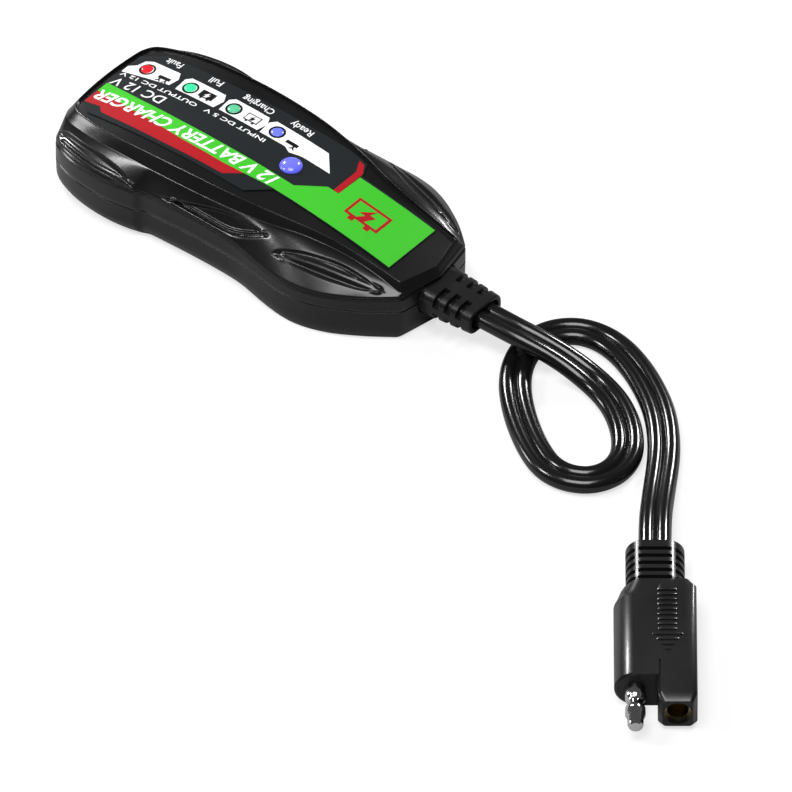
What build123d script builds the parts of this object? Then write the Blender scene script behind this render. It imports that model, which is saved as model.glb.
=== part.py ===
from build123d import *
import math
import os

# Car battery charger: a palm-sized moulded housing with a short twin lead and a two-pin plug.
# Millimetres. +Z up, +X towards the nose (lead end), origin at the middle of the underside.

# ---- housing -----------------------------------------------------------------------------
HOUSING_LENGTH = 101.0  # tail face to the point of the nose
WALL = 1.8
SPLIT_Z = 8.4  # joint face between the two shells
BASE_CHAMFER_Z = 3.6  # height of the rolled lower edge
SHOULDER_Z = 13.4  # top of the upright side wall
CONSOLE_Z = 19.0  # where the sloping shoulder meets the raised console
ROOF_Z = 22.4  # highest point of the crowned roof
ROOF_NOSE_Z = 14.8  # height of the roof at the point of the nose
ROOF_PEAK_X = -9.0
RECESS_DEPTH = 0.8  # label recess below the roof
RECESS_MARGIN = 1.9  # rim left around the label recess
NOSE_POINT = 2.3  # how far the nose's middle stands ahead of its corners
FIT = 0.2  # clearance of loose fits between pieces

HALF = HOUSING_LENGTH / 2
NOSE_X = HALF - NOSE_POINT
ROOF_FALL = ROOF_Z - ROOF_NOSE_Z
ROOF_RADIUS = ((HALF - ROOF_PEAK_X) ** 2 + ROOF_FALL**2) / (2 * ROOF_FALL)

# Half plans from tail to nose: (x as a share of the half length, half width)
BODY_SIDE = [(-1.0, 15.6), (-0.940, 20.2), (-0.713, 24.2), (-0.574, 24.5), (-0.396, 22.7), (-0.119, 21.6),
             (0.139, 21.7), (0.337, 23.3), (0.495, 23.7), (0.673, 21.4), (0.842, 16.4), (NOSE_X / HALF, 11.7)]
BASE_SIDE = [(-0.956, 13.6), (-0.900, 17.0), (-0.703, 19.9), (-0.564, 20.3), (-0.396, 18.9), (-0.119, 18.2),
             (0.139, 18.8), (0.337, 21.6), (0.495, 22.4), (0.653, 20.2), (0.812, 15.4), (0.927, 11.2)]
CONSOLE_SIDE = [(-1.0, 12.8), (-0.952, 15.6), (-0.733, 18.3), (-0.554, 18.8), (-0.356, 18.8), (-0.099, 18.3),
                (0.119, 17.2), (0.277, 15.6), (0.436, 14.0), (0.614, 12.7), (0.792, 11.9), (0.947, 11.4)]

# ---- label, lenses and button ------------------------------------------------------------
LABEL_THICKNESS = 0.3
LABEL_TAIL_X = -HALF + 4.1
LABEL_HALF_WIDTH = 13.4
LABEL_CORNER = 3.0
LABEL_STEP_X = 3.0  # where the wide part of the label begins to narrow on the button side
LABEL_STEP_LAG = 5.0  # how much further forward it narrows on the lens side
LABEL_NOSE_HALF = 8.4
LABEL_NOSE_X = HALF - 8.9
LENS_DIAMETER = 3.0
LENS_PITCH = 12.9
LENS_FRONT_X = -3.7
LENS_Y = 6.8
LENS_NAMES = ["lens_ready", "lens_charging", "lens_full", "lens_fault"]
LENS_PROUD = 0.1
BUTTON_X = 5.8
BUTTON_Y = 0.2
BUTTON_DIAMETER = 5.4
BUTTON_DOME = 1.2  # height of the dome above the label
BUTTON_TRAVEL = 0.3
BUTTON_FLANGE = 1.6  # how far the cap's flange reaches under the roof
FLANGE_THICKNESS = 1.0
FLANGE_GAP = 0.15  # between the cap's flange and the roof at rest
LENS_COLLAR = (4.6, 1.0, 1.6)  # diameter, thickness, depth of its underside below the roof

# ---- circuit board and what stands on it -------------------------------------------------
BOARD_THICKNESS = 1.6
BOARD_TOP_Z = 9.0
BOARD_TAIL_X = -HALF + 3.1
BOARD_NOSE_X = HALF - 10.9
BOARD_HALF_WIDTH = 16.6
BOARD_CORNER = 4.5
SWITCH_SIZE = 6.0
SWITCH_HEIGHT = 3.6
PLUNGER_DIAMETER = 3.4
PLUNGER_HEIGHT = 1.4
SWITCH_WELL = (1.4, 2.0)  # height of the well's floor, and of the plunger's foot, above the board
LED_SIZE = (3.2, 2.8, 1.4)
TERMINAL_X = BOARD_NOSE_X - 4.8
TERMINAL_SIZE = (2.6, 2.4, 2.8)
INNER_LEAD_DIAMETER = 2.2
INDUCTOR = (-12.0, -6.5, (12.0, 12.0, 6.5))  # x, y, size
INDUCTOR_CORNER = 2.0
CAPACITOR_SPOTS = [(17.0, -9.0), (25.0, -9.0)]
CAPACITOR_DIAMETER = 6.3
CHIP = (-27.0, -6.0, (7.0, 7.0, 1.2))
TRANSISTOR_SPOTS = [(19.0, 6.5), (28.0, 6.5)]
TRANSISTOR_SIZE = (6.5, 5.5, 1.6)
FUSE = (-37.5, -3.5, (4.5, 3.2, 1.5))
RESISTOR_ROWS = [(-20.0, 12.4, 8), (-44.5, -9.4, 2)]  # first x, y, how many
RESISTOR_PITCH = 3.2
RESISTOR_SIZE = (1.6, 0.9, 0.6)

# ---- USB-C inlet -------------------------------------------------------------------------
USB_WIDTH = 8.94
USB_HEIGHT = 3.26
USB_DEPTH = 7.3
USB_WALL = 0.3
USB_TONGUE = (6.7, 0.7, 5.0)  # width, height, length
USB_POCKET = (13.0, 6.6, 1.0)  # shallow seat for the plug's moulding in the tail face

# ---- fasteners ---------------------------------------------------------------------------
SCREW_DIAMETER = 2.6
SCREW_LENGTH = 11.0
SCREW_HEAD_DIAMETER = 4.8
SCREW_HEAD_HEIGHT = 1.7
SCREW_SPOTS = [(-HALF + 14.5, -13.8), (-HALF + 14.5, 13.8), (HALF - 18.5, -13.0), (HALF - 18.5, 13.0)]
BOSS_DIAMETER = 6.4
HEAD_SEAT_Z = 3.0  # depth of the screw head's pocket from below
DRIVE_SLOT = (3.0, 0.6, 1.2)  # length, width and double depth of each arm of the cross

# ---- lead, strain relief and plug --------------------------------------------------------
LEAD_Z = SPLIT_Z
CORE_DIAMETER = 3.9
CORE_SPACING = 3.6
RELIEF_NECK = (13.2, 7.4)  # width and height where it leaves the housing
RELIEF_END = (11.6, 6.2)
RELIEF_LENGTH = 12.9  # beyond the point of the nose
RELIEF_FLANGE = (16.4, 9.2, 1.8)  # width, height, thickness, inside the housing
RELIEF_SLOTS = 3
SLOT_WIDTH = 1.1
SLOT_DEPTH = 0.8
SLOT_START = 3.4  # from the point of the nose to the first slot
SLOT_LENGTH = 3.4
SIDE_SLOT_HEIGHT = 4.0
SLOT_OFFSET = 2.7  # from the middle to each slot on the broad faces
RELIEF_CORNER = 2.0

PLUG_HEADING = -50.5  # degrees from +X
PLUG_THICKNESS = 9.5
PIN_SPACING = 9.5
PLUG_BODY = 46.0  # cable entry to the male half's shoulder
PLUG_FEMALE = 54.0  # cable entry to the end of the female half
PLUG_ENTRY = 18.0  # length of the ribbed sleeve at the cable entry
PLUG_SLEEVE = (13.4, 8.6)
PIN_DIAMETER = 4.6
PIN_SHANK = (3.6, 3.0)  # diameter and depth of the shank moulded into the body
PIN_LENGTH = 12.5
PIN_PROFILE = [(3.4, 0.0), (4.2, 0.6), (5.4, 0.6), (6.6, 0.0), (8.4, 0.0), (9.9, 0.5), (11.9, 0.4), (12.5, 1.2)]
BARREL_DIAMETER = 5.0  # bore of the female terminal
BARREL_WALL = 0.6
BARREL_FLOOR = 1.0
BARREL_BACK = 1.5  # from the female half's end to the terminal's mouth
BORE_DEPTH = 14.0
PLUG_TAPER = 6.0  # half length of the stretch that widens from the sleeve to both halves
PLUG_CORNERS = (4.1, 3.0, 1.0, 0.6)  # sleeve, shoulder, female half, web
PLUG_TRIM = 0.6  # how much the female half is narrower than it is thick
PLUG_RIBS = 5
PLUG_RIB_START = 3.2
PLUG_RIB_PITCH = 2.4
PLUG_RIB = (1.0, 3.6, 1.4)  # width, length and double depth on the broad faces
PLUG_RIB_OFFSET = 2.9
PLUG_SIDE_RIB = 4.0

LEAD_END_Z = PLUG_THICKNESS / 2
LYING_Z = CORE_DIAMETER / 2 + 0.02
# Centre line of the lead from the strain relief to the plug
LEAD_POINTS = [
    (HALF + RELIEF_LENGTH, 0.0, LEAD_Z), (70.2, 0.0, LEAD_Z), (77.6, 1.4, 7.1), (85.2, 3.3, 4.4),
    (92.6, 3.5, 2.3), (99.8, 1.4, LYING_Z), (106.0, -2.4, LYING_Z), (111.0, -6.9, LYING_Z),
    (114.6, -12.0, LYING_Z), (115.6, -17.8, LYING_Z), (113.4, -23.0, LYING_Z), (108.6, -25.9, LYING_Z),
    (102.9, -26.0, LYING_Z), (96.8, -23.2, LYING_Z), (90.4, -19.0, LYING_Z), (84.5, -14.2, LYING_Z),
    (79.2, -8.8, LYING_Z), (75.2, -2.8, LYING_Z), (73.2, 3.6, LYING_Z), (74.0, 9.8, LYING_Z),
    (77.8, 14.5, LYING_Z), (83.4, 16.4, LYING_Z), (89.8, 15.9, LYING_Z), (96.6, 13.5, LYING_Z),
    (103.4, 9.9, LYING_Z), (110.0, 5.4, LYING_Z), (116.0, -0.3, LYING_Z), (121.5, -7.0, LYING_Z),
    (128.7, -17.9, 2.7), (135.6, -27.76, LEAD_END_Z), (141.8, -35.28, LEAD_END_Z)]
TURN_SHARE = 0.45


def half_outline(side, nose_point, z):
    """Closed face at height z from a half plan, with a pointed nose."""
    tail_x, tail_w = side[0]
    nose_x, nose_w = side[-1]
    near = Spline(*[(x, -w) for x, w in side])
    far = Spline(*[(x, w) for x, w in reversed(side)])
    nose = [Line((nose_x, -nose_w), (nose_x + nose_point, 0)), Line((nose_x + nose_point, 0), (nose_x, nose_w))]
    tail = Line((tail_x, tail_w), (tail_x, -tail_w))
    face = make_face([near, *nose, far, tail])
    return Pos(0, 0, z) * face


def inset_side(side, amount):
    """A half plan in millimetres, moved in by a wall thickness."""
    half = HALF - amount
    return [(share * half, w - amount) for share, w in side]


def roof_mass(drop):
    """Everything below the crowned roof surface lowered by drop."""
    span = HALF + 20
    radius = ROOF_RADIUS - drop
    centre_z = ROOF_Z - ROOF_RADIUS

    def arc_z(x):
        return centre_z + math.sqrt(radius**2 - (x - ROOF_PEAK_X) ** 2)

    arc = ThreePointArc((-span, arc_z(-span)), (ROOF_PEAK_X, centre_z + radius), (span, arc_z(span)))
    rest = Polyline((span, arc_z(span)), (span, -5), (-span, -5), (-span, arc_z(-span)))
    return extrude(Plane.XZ * make_face([arc, rest]), 40, both=True)


def roof_z(x, drop=0.0):
    """Height of the roof surface at x, lowered by drop."""
    return ROOF_Z - ROOF_RADIUS + math.sqrt((ROOF_RADIUS - drop) ** 2 - (x - ROOF_PEAK_X) ** 2)


def housing_mass(inset):
    """The whole housing's outer shape, or its cavity when inset by the wall."""
    base, body, console = (inset_side(side, inset) for side in (BASE_SIDE, BODY_SIDE, CONSOLE_SIDE))
    point = NOSE_POINT
    low, roll, shoulder = inset, BASE_CHAMFER_Z + inset / 2, SHOULDER_Z - inset / 3
    sections = [(base, low), (body, roll), (body, shoulder), (console, CONSOLE_Z), (console, ROOF_Z + 1)]
    mass = loft([half_outline(side, point, z) for side, z in sections], ruled=True)
    drop = 0 if inset == 0 else RECESS_DEPTH + WALL
    return mass & roof_mass(drop)


def slab(low_z, high_z):
    """A wide block between two heights, to part the shells."""
    return Pos(0, 0, low_z) * Box(400, 400, high_z - low_z, align=(Align.CENTER, Align.CENTER, Align.MIN))


def post(x, y, low_z, high_z, diameter):
    """An upright cylinder between two heights."""
    return Pos(x, y, low_z) * Cylinder(diameter / 2, high_z - low_z, align=(Align.CENTER, Align.CENTER, Align.MIN))


def block(x, y, low_z, size):
    """An upright box standing at low_z."""
    return Pos(x, y, low_z) * Box(*size, align=(Align.CENTER, Align.CENTER, Align.MIN))


def rounded_bar(x, z, width, height, length, corner):
    """A bar along +X from x with a rounded rectangular section centred at height z."""
    section = Plane(origin=(x, 0, z), x_dir=(0, 1, 0), z_dir=(1, 0, 0)) * RectangleRounded(width, height, corner)
    return extrude(section, length)


def label_sheet():
    """Printed film in the recess: wide over the lenses, narrow over the nose."""
    corner = LABEL_CORNER
    step = LABEL_HALF_WIDTH - LABEL_NOSE_HALF
    far_x = LABEL_STEP_X + step + LABEL_STEP_LAG
    outline = Polyline(
        (LABEL_TAIL_X, -LABEL_HALF_WIDTH + corner), (LABEL_TAIL_X + corner, -LABEL_HALF_WIDTH),
        (LABEL_STEP_X, -LABEL_HALF_WIDTH), (LABEL_STEP_X + step, -LABEL_NOSE_HALF),
        (LABEL_NOSE_X, -LABEL_NOSE_HALF), (LABEL_NOSE_X, LABEL_NOSE_HALF),
        (far_x + step, LABEL_NOSE_HALF), (far_x, LABEL_HALF_WIDTH),
        (LABEL_TAIL_X + corner, LABEL_HALF_WIDTH), (LABEL_TAIL_X, LABEL_HALF_WIDTH - corner), close=True)
    sheet = extrude(make_face(outline), ROOF_Z + 5)
    sheet = (sheet & roof_mass(RECESS_DEPTH - LABEL_THICKNESS)) - roof_mass(RECESS_DEPTH)
    for x in lens_xs():
        sheet -= post(x, LENS_Y, 0, 30, LENS_DIAMETER + 2 * FIT)
    return sheet - post(BUTTON_X, BUTTON_Y, 0, 30, BUTTON_DIAMETER + 2 * FIT)


def lens_xs():
    """Lens centres from the button back to the tail."""
    return [LENS_FRONT_X - LENS_PITCH * i for i in range(len(LENS_NAMES))]


def relief_opening():
    """The slot in the nose that the strain relief's neck fills."""
    width, height = RELIEF_NECK
    return rounded_bar(NOSE_X - 6, LEAD_Z, width + 0.1, height + 0.1, 12, 2.0)


def usb_opening():
    """The tail opening for the inlet's shell with the shallow seat round it."""
    width, height, depth = USB_POCKET
    mouth = rounded_bar(-HALF - 1, usb_z(), USB_WIDTH + 2 * FIT, USB_HEIGHT + 2 * FIT, WALL + 3, 1.5)
    return mouth + rounded_bar(-HALF - 1, usb_z(), width, height, 1 + depth, 2.5)


def usb_z():
    """Height of the inlet's middle on the board."""
    return BOARD_TOP_Z + USB_HEIGHT / 2


def shells():
    """Upper and lower shells, with their screw posts and openings."""
    outer = housing_mass(0)
    cavity = housing_mass(WALL)
    openings = relief_opening() + usb_opening()
    recess = extrude(half_outline(inset_side(CONSOLE_SIDE, RECESS_MARGIN), NOSE_POINT, 0), ROOF_Z + 5)
    recess -= roof_mass(RECESS_DEPTH)
    upper = (outer & slab(SPLIT_Z, 40)) - cavity - recess
    lower = (outer & slab(-1, SPLIT_Z)) - cavity
    for x, y in SCREW_SPOTS:
        upper += post(x, y, BOARD_TOP_Z, 30, BOSS_DIAMETER) & outer & roof_mass(RECESS_DEPTH + WALL / 2)
        lower += post(x, y, 0, board_low_z(), BOSS_DIAMETER + 1) & outer
        upper -= post(x, y, 0, screw_top_z() + 1, SCREW_DIAMETER)
        lower -= post(x, y, -1, HEAD_SEAT_Z, SCREW_HEAD_DIAMETER + 2 * FIT)
        lower -= post(x, y, -1, board_low_z() + 1, SCREW_DIAMETER + 2 * FIT)
    for x in lens_xs():
        upper -= post(x, LENS_Y, 10, 30, LENS_DIAMETER + 2 * FIT)
    upper -= post(BUTTON_X, BUTTON_Y, 10, 30, BUTTON_DIAMETER + 2 * FIT)
    return upper - openings, lower - openings


def board_low_z():
    """Underside of the circuit board."""
    return BOARD_TOP_Z - BOARD_THICKNESS


def screw_top_z():
    """Tip of the case screws."""
    return HEAD_SEAT_Z + SCREW_LENGTH


def case_screws():
    """Four self-tapping screws driven from below."""
    screws = []
    for x, y in SCREW_SPOTS:
        head = post(x, y, HEAD_SEAT_Z - SCREW_HEAD_HEIGHT, HEAD_SEAT_Z, SCREW_HEAD_DIAMETER)
        shank = post(x, y, HEAD_SEAT_Z, screw_top_z(), SCREW_DIAMETER)
        slot = Box(*DRIVE_SLOT)
        cross = Pos(x, y, HEAD_SEAT_Z - SCREW_HEAD_HEIGHT) * (slot + Rot(0, 0, 90) * slot)
        screws.append(head + shank - cross)
    return Compound(children=screws)


def circuit_board():
    """Board resting on the lower posts, drilled for the screws."""
    length = BOARD_NOSE_X - BOARD_TAIL_X
    sheet = Rectangle(length, 2 * BOARD_HALF_WIDTH)
    sheet = chamfer(sheet.vertices(), BOARD_CORNER)
    board = Pos((BOARD_NOSE_X + BOARD_TAIL_X) / 2, 0, board_low_z()) * extrude(sheet, BOARD_THICKNESS)
    for x, y in SCREW_SPOTS:
        board -= post(x, y, 0, 30, SCREW_DIAMETER + 2 * FIT)
    return board


def lenses():
    """Light pipes from the status lamps up to the label."""
    pipes = {}
    collar, thickness, drop = LENS_COLLAR
    for name, x in zip(LENS_NAMES, lens_xs()):
        foot_z = BOARD_TOP_Z + LED_SIZE[2] + FIT
        top_z = roof_z(x, RECESS_DEPTH - LABEL_THICKNESS) + LENS_PROUD
        collar_z = roof_z(x, RECESS_DEPTH + WALL) - drop
        pipe = post(x, LENS_Y, foot_z, top_z, LENS_DIAMETER)
        pipes[name] = pipe + post(x, LENS_Y, collar_z, collar_z + thickness, collar)
    return pipes


def status_leds():
    """Four surface-mounted lamps under the light pipes."""
    return Compound(children=[block(x, LENS_Y, BOARD_TOP_Z, LED_SIZE) for x in lens_xs()])


def button_pieces():
    """Domed cap with its flange and stem, and the switch below it."""
    label_top = roof_z(BUTTON_X, RECESS_DEPTH - LABEL_THICKNESS)
    flange_top = roof_z(BUTTON_X + BUTTON_DIAMETER, RECESS_DEPTH + WALL) - FLANGE_GAP
    well_z, foot_z = (BOARD_TOP_Z + height for height in SWITCH_WELL)
    plunger_top = BOARD_TOP_Z + SWITCH_HEIGHT + PLUNGER_HEIGHT
    radius = BUTTON_DIAMETER / 2
    ball = (radius**2 + BUTTON_DOME**2) / (2 * BUTTON_DOME)
    stem = post(BUTTON_X, BUTTON_Y, plunger_top, label_top + BUTTON_DOME, BUTTON_DIAMETER)
    cap = stem & (Pos(BUTTON_X, BUTTON_Y, label_top + BUTTON_DOME - ball) * Sphere(ball)
                  + post(BUTTON_X, BUTTON_Y, plunger_top, label_top, BUTTON_DIAMETER))
    cap += post(BUTTON_X, BUTTON_Y, flange_top - FLANGE_THICKNESS, flange_top, BUTTON_DIAMETER + 2 * BUTTON_FLANGE)
    switch = block(BUTTON_X, BUTTON_Y, BOARD_TOP_Z, (SWITCH_SIZE, SWITCH_SIZE, SWITCH_HEIGHT))
    well = post(BUTTON_X, BUTTON_Y, well_z, ROOF_Z, PLUNGER_DIAMETER + 2 * FIT)
    plunger = post(BUTTON_X, BUTTON_Y, foot_z, plunger_top, PLUNGER_DIAMETER)
    return {"button_cap": cap, "tactile_switch": switch - well, "switch_plunger": plunger}


def usb_inlet():
    """USB-C receptacle: a flat drawn tube with its contact tongue."""
    corner = USB_HEIGHT / 2 - 0.05
    start = -HALF + USB_POCKET[2] + 0.1
    tube = rounded_bar(start, usb_z(), USB_WIDTH, USB_HEIGHT, USB_DEPTH, corner)
    bore = rounded_bar(start - 1, usb_z(), USB_WIDTH - 2 * USB_WALL, USB_HEIGHT - 2 * USB_WALL,
                       USB_DEPTH, corner - USB_WALL)
    width, height, length = USB_TONGUE
    tongue = Pos(start + USB_DEPTH - 1 - length, 0, usb_z()) * Box(length, width, height,
                                                                  align=(Align.MIN, Align.CENTER, Align.CENTER))
    return {"usb_c_shell": tube - bore, "usb_c_tongue": tongue}


def electronics():
    """The larger parts soldered to the board."""
    top = BOARD_TOP_Z
    parts = {}
    ceiling = roof_z(CAPACITOR_SPOTS[-1][0] + CAPACITOR_DIAMETER / 2, RECESS_DEPTH + WALL) - FIT
    cans = [post(x, y, top, ceiling, CAPACITOR_DIAMETER) for x, y in CAPACITOR_SPOTS]
    chips = [block(first + RESISTOR_PITCH * i, y, top, RESISTOR_SIZE)
             for first, y, count in RESISTOR_ROWS for i in range(count)]

    def placed(x, y, size):
        return block(x, y, top, size)

    parts["power_inductor"] = fillet(placed(*INDUCTOR).edges().filter_by(Axis.Z), INDUCTOR_CORNER)
    parts["filter_capacitors"] = Compound(children=cans)
    parts["charge_controller_chip"] = placed(*CHIP)
    parts["power_transistors"] = Compound(children=[placed(x, y, TRANSISTOR_SIZE) for x, y in TRANSISTOR_SPOTS])
    parts["fuse"] = placed(*FUSE)
    parts["chip_resistors"] = Compound(children=chips)
    lugs = [block(TERMINAL_X, side * CORE_SPACING / 2, top, TERMINAL_SIZE) for side in (-1, 1)]
    parts["output_terminals"] = Compound(children=lugs)
    return parts


def inner_leads():
    """Two insulated cores from the strain relief to the output terminals."""
    start_x, end_x = relief_start_x(), TERMINAL_X + TERMINAL_SIZE[0] / 2
    radius = INNER_LEAD_DIAMETER / 2
    over_board = BOARD_TOP_Z + radius + FIT
    clear_x = BOARD_NOSE_X + radius
    leads = {}
    for name, side in (("lead_negative", -1), ("lead_positive", 1)):
        y = CORE_SPACING / 2 * side
        points = [(start_x, y, LEAD_Z), (start_x - radius, y, LEAD_Z), (clear_x, y, over_board), (end_x, y, over_board)]
        path = FilletPolyline(*points, radius=radius)
        section = Plane(origin=path @ 0, z_dir=path % 0) * Circle(radius)
        leads[name] = sweep(section, path)
    return leads


def relief_start_x():
    """Inner face of the strain relief's flange."""
    return NOSE_X - WALL - 0.6 - RELIEF_FLANGE[2]


def strain_relief():
    """Moulded sleeve: a flange held inside the nose, a neck and a slotted taper."""
    width, height = RELIEF_NECK
    end_width, end_height = RELIEF_END
    flange_width, flange_height, flange_thickness = RELIEF_FLANGE
    start = relief_start_x()
    taper_x = HALF + 1.0
    flange = rounded_bar(start, LEAD_Z, flange_width, flange_height, flange_thickness, RELIEF_CORNER)
    neck = rounded_bar(start, LEAD_Z, width, height, taper_x - start, RELIEF_CORNER)
    sections = [Plane(origin=(x, 0, LEAD_Z), x_dir=(0, 1, 0), z_dir=(1, 0, 0)) * RectangleRounded(w, h, RELIEF_CORNER)
                for x, w, h in ((taper_x, width, height), (HALF + RELIEF_LENGTH, end_width, end_height))]
    sleeve = flange + neck + loft(sections)
    pitch = (RELIEF_LENGTH - SLOT_START) / RELIEF_SLOTS
    for i in range(RELIEF_SLOTS):
        x = HALF + SLOT_START + pitch * i
        for side in (-1, 1):
            for face in (-1, 1):
                mark = Box(SLOT_WIDTH, SLOT_LENGTH, 2 * SLOT_DEPTH)
                sleeve -= Pos(x, side * SLOT_OFFSET, LEAD_Z + face * height / 2) * mark
            sleeve -= Pos(x, side * width / 2, LEAD_Z) * Box(SLOT_WIDTH, 2 * SLOT_DEPTH, SIDE_SLOT_HEIGHT)
    return sleeve


def turn_radii(points):
    """Arc radius at each inner point, from the shorter run beside it."""
    radii = []
    for before, here, after in zip(points, points[1:], points[2:]):
        first, second = Vector(here) - Vector(before), Vector(after) - Vector(here)
        half_turn = math.radians(first.get_angle(second)) / 2
        radii.append(TURN_SHARE * min(first.length, second.length) / math.tan(half_turn))
    return radii


def output_lead():
    """Flat twin lead lying on the surface, swept along its route."""
    radii = turn_radii(LEAD_POINTS)
    path = FilletPolyline(*LEAD_POINTS, radius=radii)
    above = FilletPolyline(*[(x, y, z + 20) for x, y, z in LEAD_POINTS], radius=radii)
    plane = Plane(origin=path @ 0, x_dir=(0, 1, 0), z_dir=path % 0)
    cores = [Pos(side * CORE_SPACING / 2, 0) * Circle(CORE_DIAMETER / 2) for side in (-1, 1)]
    section = plane * (cores[0] + cores[1])
    lead = sweep(section, path, binormal=Wire(above.edges()))
    print("lead radii", [round(r, 1) for r in radii])
    print("lead length", round(path.length, 1), "volume", round(lead.volume), "expected",
          round(section.area * path.length))
    return lead


def plug_place():
    """Local frame of the plug: +X from the cable entry to the pins, +Y to the female side."""
    x, y, z = LEAD_POINTS[-1]
    return Pos(x, y, z) * Rot(0, 0, PLUG_HEADING)


def cross_bar(x, y, width, height, length, corner):
    """A rounded bar along the plug's own +X."""
    section = Plane(origin=(x, y, 0), x_dir=(0, 1, 0), z_dir=(1, 0, 0)) * RectangleRounded(width, height, corner)
    return extrude(section, length)


def along_plug(x, y, diameter, length):
    """A cylinder along the plug's own +X from x."""
    rod = Cylinder(diameter / 2, length, align=(Align.CENTER, Align.CENTER, Align.MIN))
    return Pos(x, y, 0) * Rot(0, 90, 0) * rod


def plug_ribs():
    """Slots across the sleeve: two on each broad face and one on each side."""
    width, length, depth = PLUG_RIB
    sleeve_w, sleeve_h = PLUG_SLEEVE
    broad, side_slot = Box(width, length, depth), Box(width, depth, PLUG_SIDE_RIB)
    slots = []
    for i in range(PLUG_RIBS):
        x = PLUG_RIB_START + PLUG_RIB_PITCH * i
        for side in (-1, 1):
            slots.append(Pos(x, side * sleeve_w / 2, 0) * side_slot)
            slots += [Pos(x, side * PLUG_RIB_OFFSET, face * sleeve_h / 2) * broad for face in (-1, 1)]
    return slots


def plug_pieces():
    """Two-pole plug: moulded body, bare male pin and shrouded female terminal."""
    male_y, female_y = -PIN_SPACING / 2, PIN_SPACING / 2
    thick = PLUG_THICKNESS
    sleeve_w, sleeve_h = PLUG_SLEEVE
    round_sleeve, round_shoulder, round_female, round_web = PLUG_CORNERS
    female_width = thick - PLUG_TRIM
    wide = PIN_SPACING + female_width
    mid = PLUG_ENTRY + PLUG_TAPER
    sections = [
        Plane(origin=(x, 0, 0), x_dir=(0, 1, 0), z_dir=(1, 0, 0)) * RectangleRounded(w, h, r)
        for x, w, h, r in ((0, sleeve_w, sleeve_h, round_sleeve),
                           (PLUG_ENTRY - PLUG_TAPER, sleeve_w + 0.8, sleeve_h, round_sleeve),
                           (mid, wide, thick, round_shoulder))]
    body = loft(sections[:2]) + loft(sections[1:])
    body += cross_bar(mid, male_y + 0.1, thick, thick, PLUG_BODY - mid, thick / 2 - 0.1)
    body += cross_bar(mid, 0, PIN_SPACING, thick, PLUG_BODY - mid, round_web)
    body += cross_bar(mid, female_y, female_width, thick, PLUG_FEMALE - mid, round_female)
    terminal = BARREL_DIAMETER + 2 * BARREL_WALL
    back = PLUG_FEMALE - BORE_DEPTH
    body -= along_plug(back, female_y, terminal, BORE_DEPTH + 1)
    barrel = along_plug(back, female_y, terminal, BORE_DEPTH - BARREL_BACK)
    barrel -= along_plug(back + BARREL_FLOOR, female_y, BARREL_DIAMETER, BORE_DEPTH)
    for slot in plug_ribs():
        body -= slot
    radius = PIN_DIAMETER / 2
    shank_radius, shank_depth = PIN_SHANK[0] / 2, PIN_SHANK[1]
    shank = [(-shank_depth, 0), (-shank_depth, shank_radius), (0, shank_radius), (0, radius)]
    tip = [(x, radius - drop) for x, drop in PIN_PROFILE]
    profile = Polyline(*shank, *tip, (PIN_LENGTH, 0), close=True)
    pin = Pos(PLUG_BODY, male_y, 0) * revolve(make_face(profile), Axis.X)
    body -= along_plug(PLUG_BODY - shank_depth, male_y, PIN_SHANK[0], 2 * shank_depth)
    place = plug_place()
    return {"plug_body": place * body, "male_pin": place * pin, "female_terminal": place * barrel}


def all_parts():
    """Every named piece of the charger."""
    upper, lower = shells()
    parts = {"upper_shell": upper, "lower_shell": lower, "label_sheet": label_sheet(),
             "case_screws": case_screws(), "circuit_board": circuit_board(), "status_leds": status_leds(),
             "strain_relief": strain_relief(), "output_lead": output_lead()}
    for group in (lenses(), button_pieces(), usb_inlet(), electronics(), inner_leads(), plug_pieces()):
        parts.update(group)
    return parts


os.makedirs("parts", exist_ok=True)
for node, shape in all_parts().items():
    export_step(shape, f"parts/{node}.step")
    print(node, round(shape.volume, 1))
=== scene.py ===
"""Car battery charger: moulded housing, printed label, twin lead and two-pole plug."""

import logging
import math
from collections.abc import Callable
from dataclasses import dataclass, field
from enum import Enum

import bmesh
import bpy
import numpy as np
from mathutils import Matrix, Vector


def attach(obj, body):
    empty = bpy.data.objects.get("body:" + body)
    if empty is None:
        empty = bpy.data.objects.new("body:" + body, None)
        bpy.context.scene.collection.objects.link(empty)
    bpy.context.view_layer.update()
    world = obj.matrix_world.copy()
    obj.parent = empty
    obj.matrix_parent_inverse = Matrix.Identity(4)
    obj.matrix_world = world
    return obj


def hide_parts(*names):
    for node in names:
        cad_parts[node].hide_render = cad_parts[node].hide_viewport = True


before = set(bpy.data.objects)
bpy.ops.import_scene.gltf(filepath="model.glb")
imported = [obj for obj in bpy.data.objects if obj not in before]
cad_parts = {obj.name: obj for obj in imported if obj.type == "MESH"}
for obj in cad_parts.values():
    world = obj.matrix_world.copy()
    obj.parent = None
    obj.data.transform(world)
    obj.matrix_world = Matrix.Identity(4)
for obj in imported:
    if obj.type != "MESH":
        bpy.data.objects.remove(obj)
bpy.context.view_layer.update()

MM = 0.001
LOG = logging.getLogger("charger")
Rows = list[np.ndarray]
Plan = list[tuple[float, float]]
Triple = tuple[float, float, float]


# ------------------------------------------------------------------------------------------
# Shared mesh work
# ------------------------------------------------------------------------------------------


def smoothstep(value: np.ndarray | float, low: float, high: float) -> np.ndarray:
    """A soft ramp from 0 at low to 1 at high."""
    t = np.clip((np.asarray(value, float) - low) / (high - low), 0.0, 1.0)
    return t * t * (3 - 2 * t)


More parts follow.
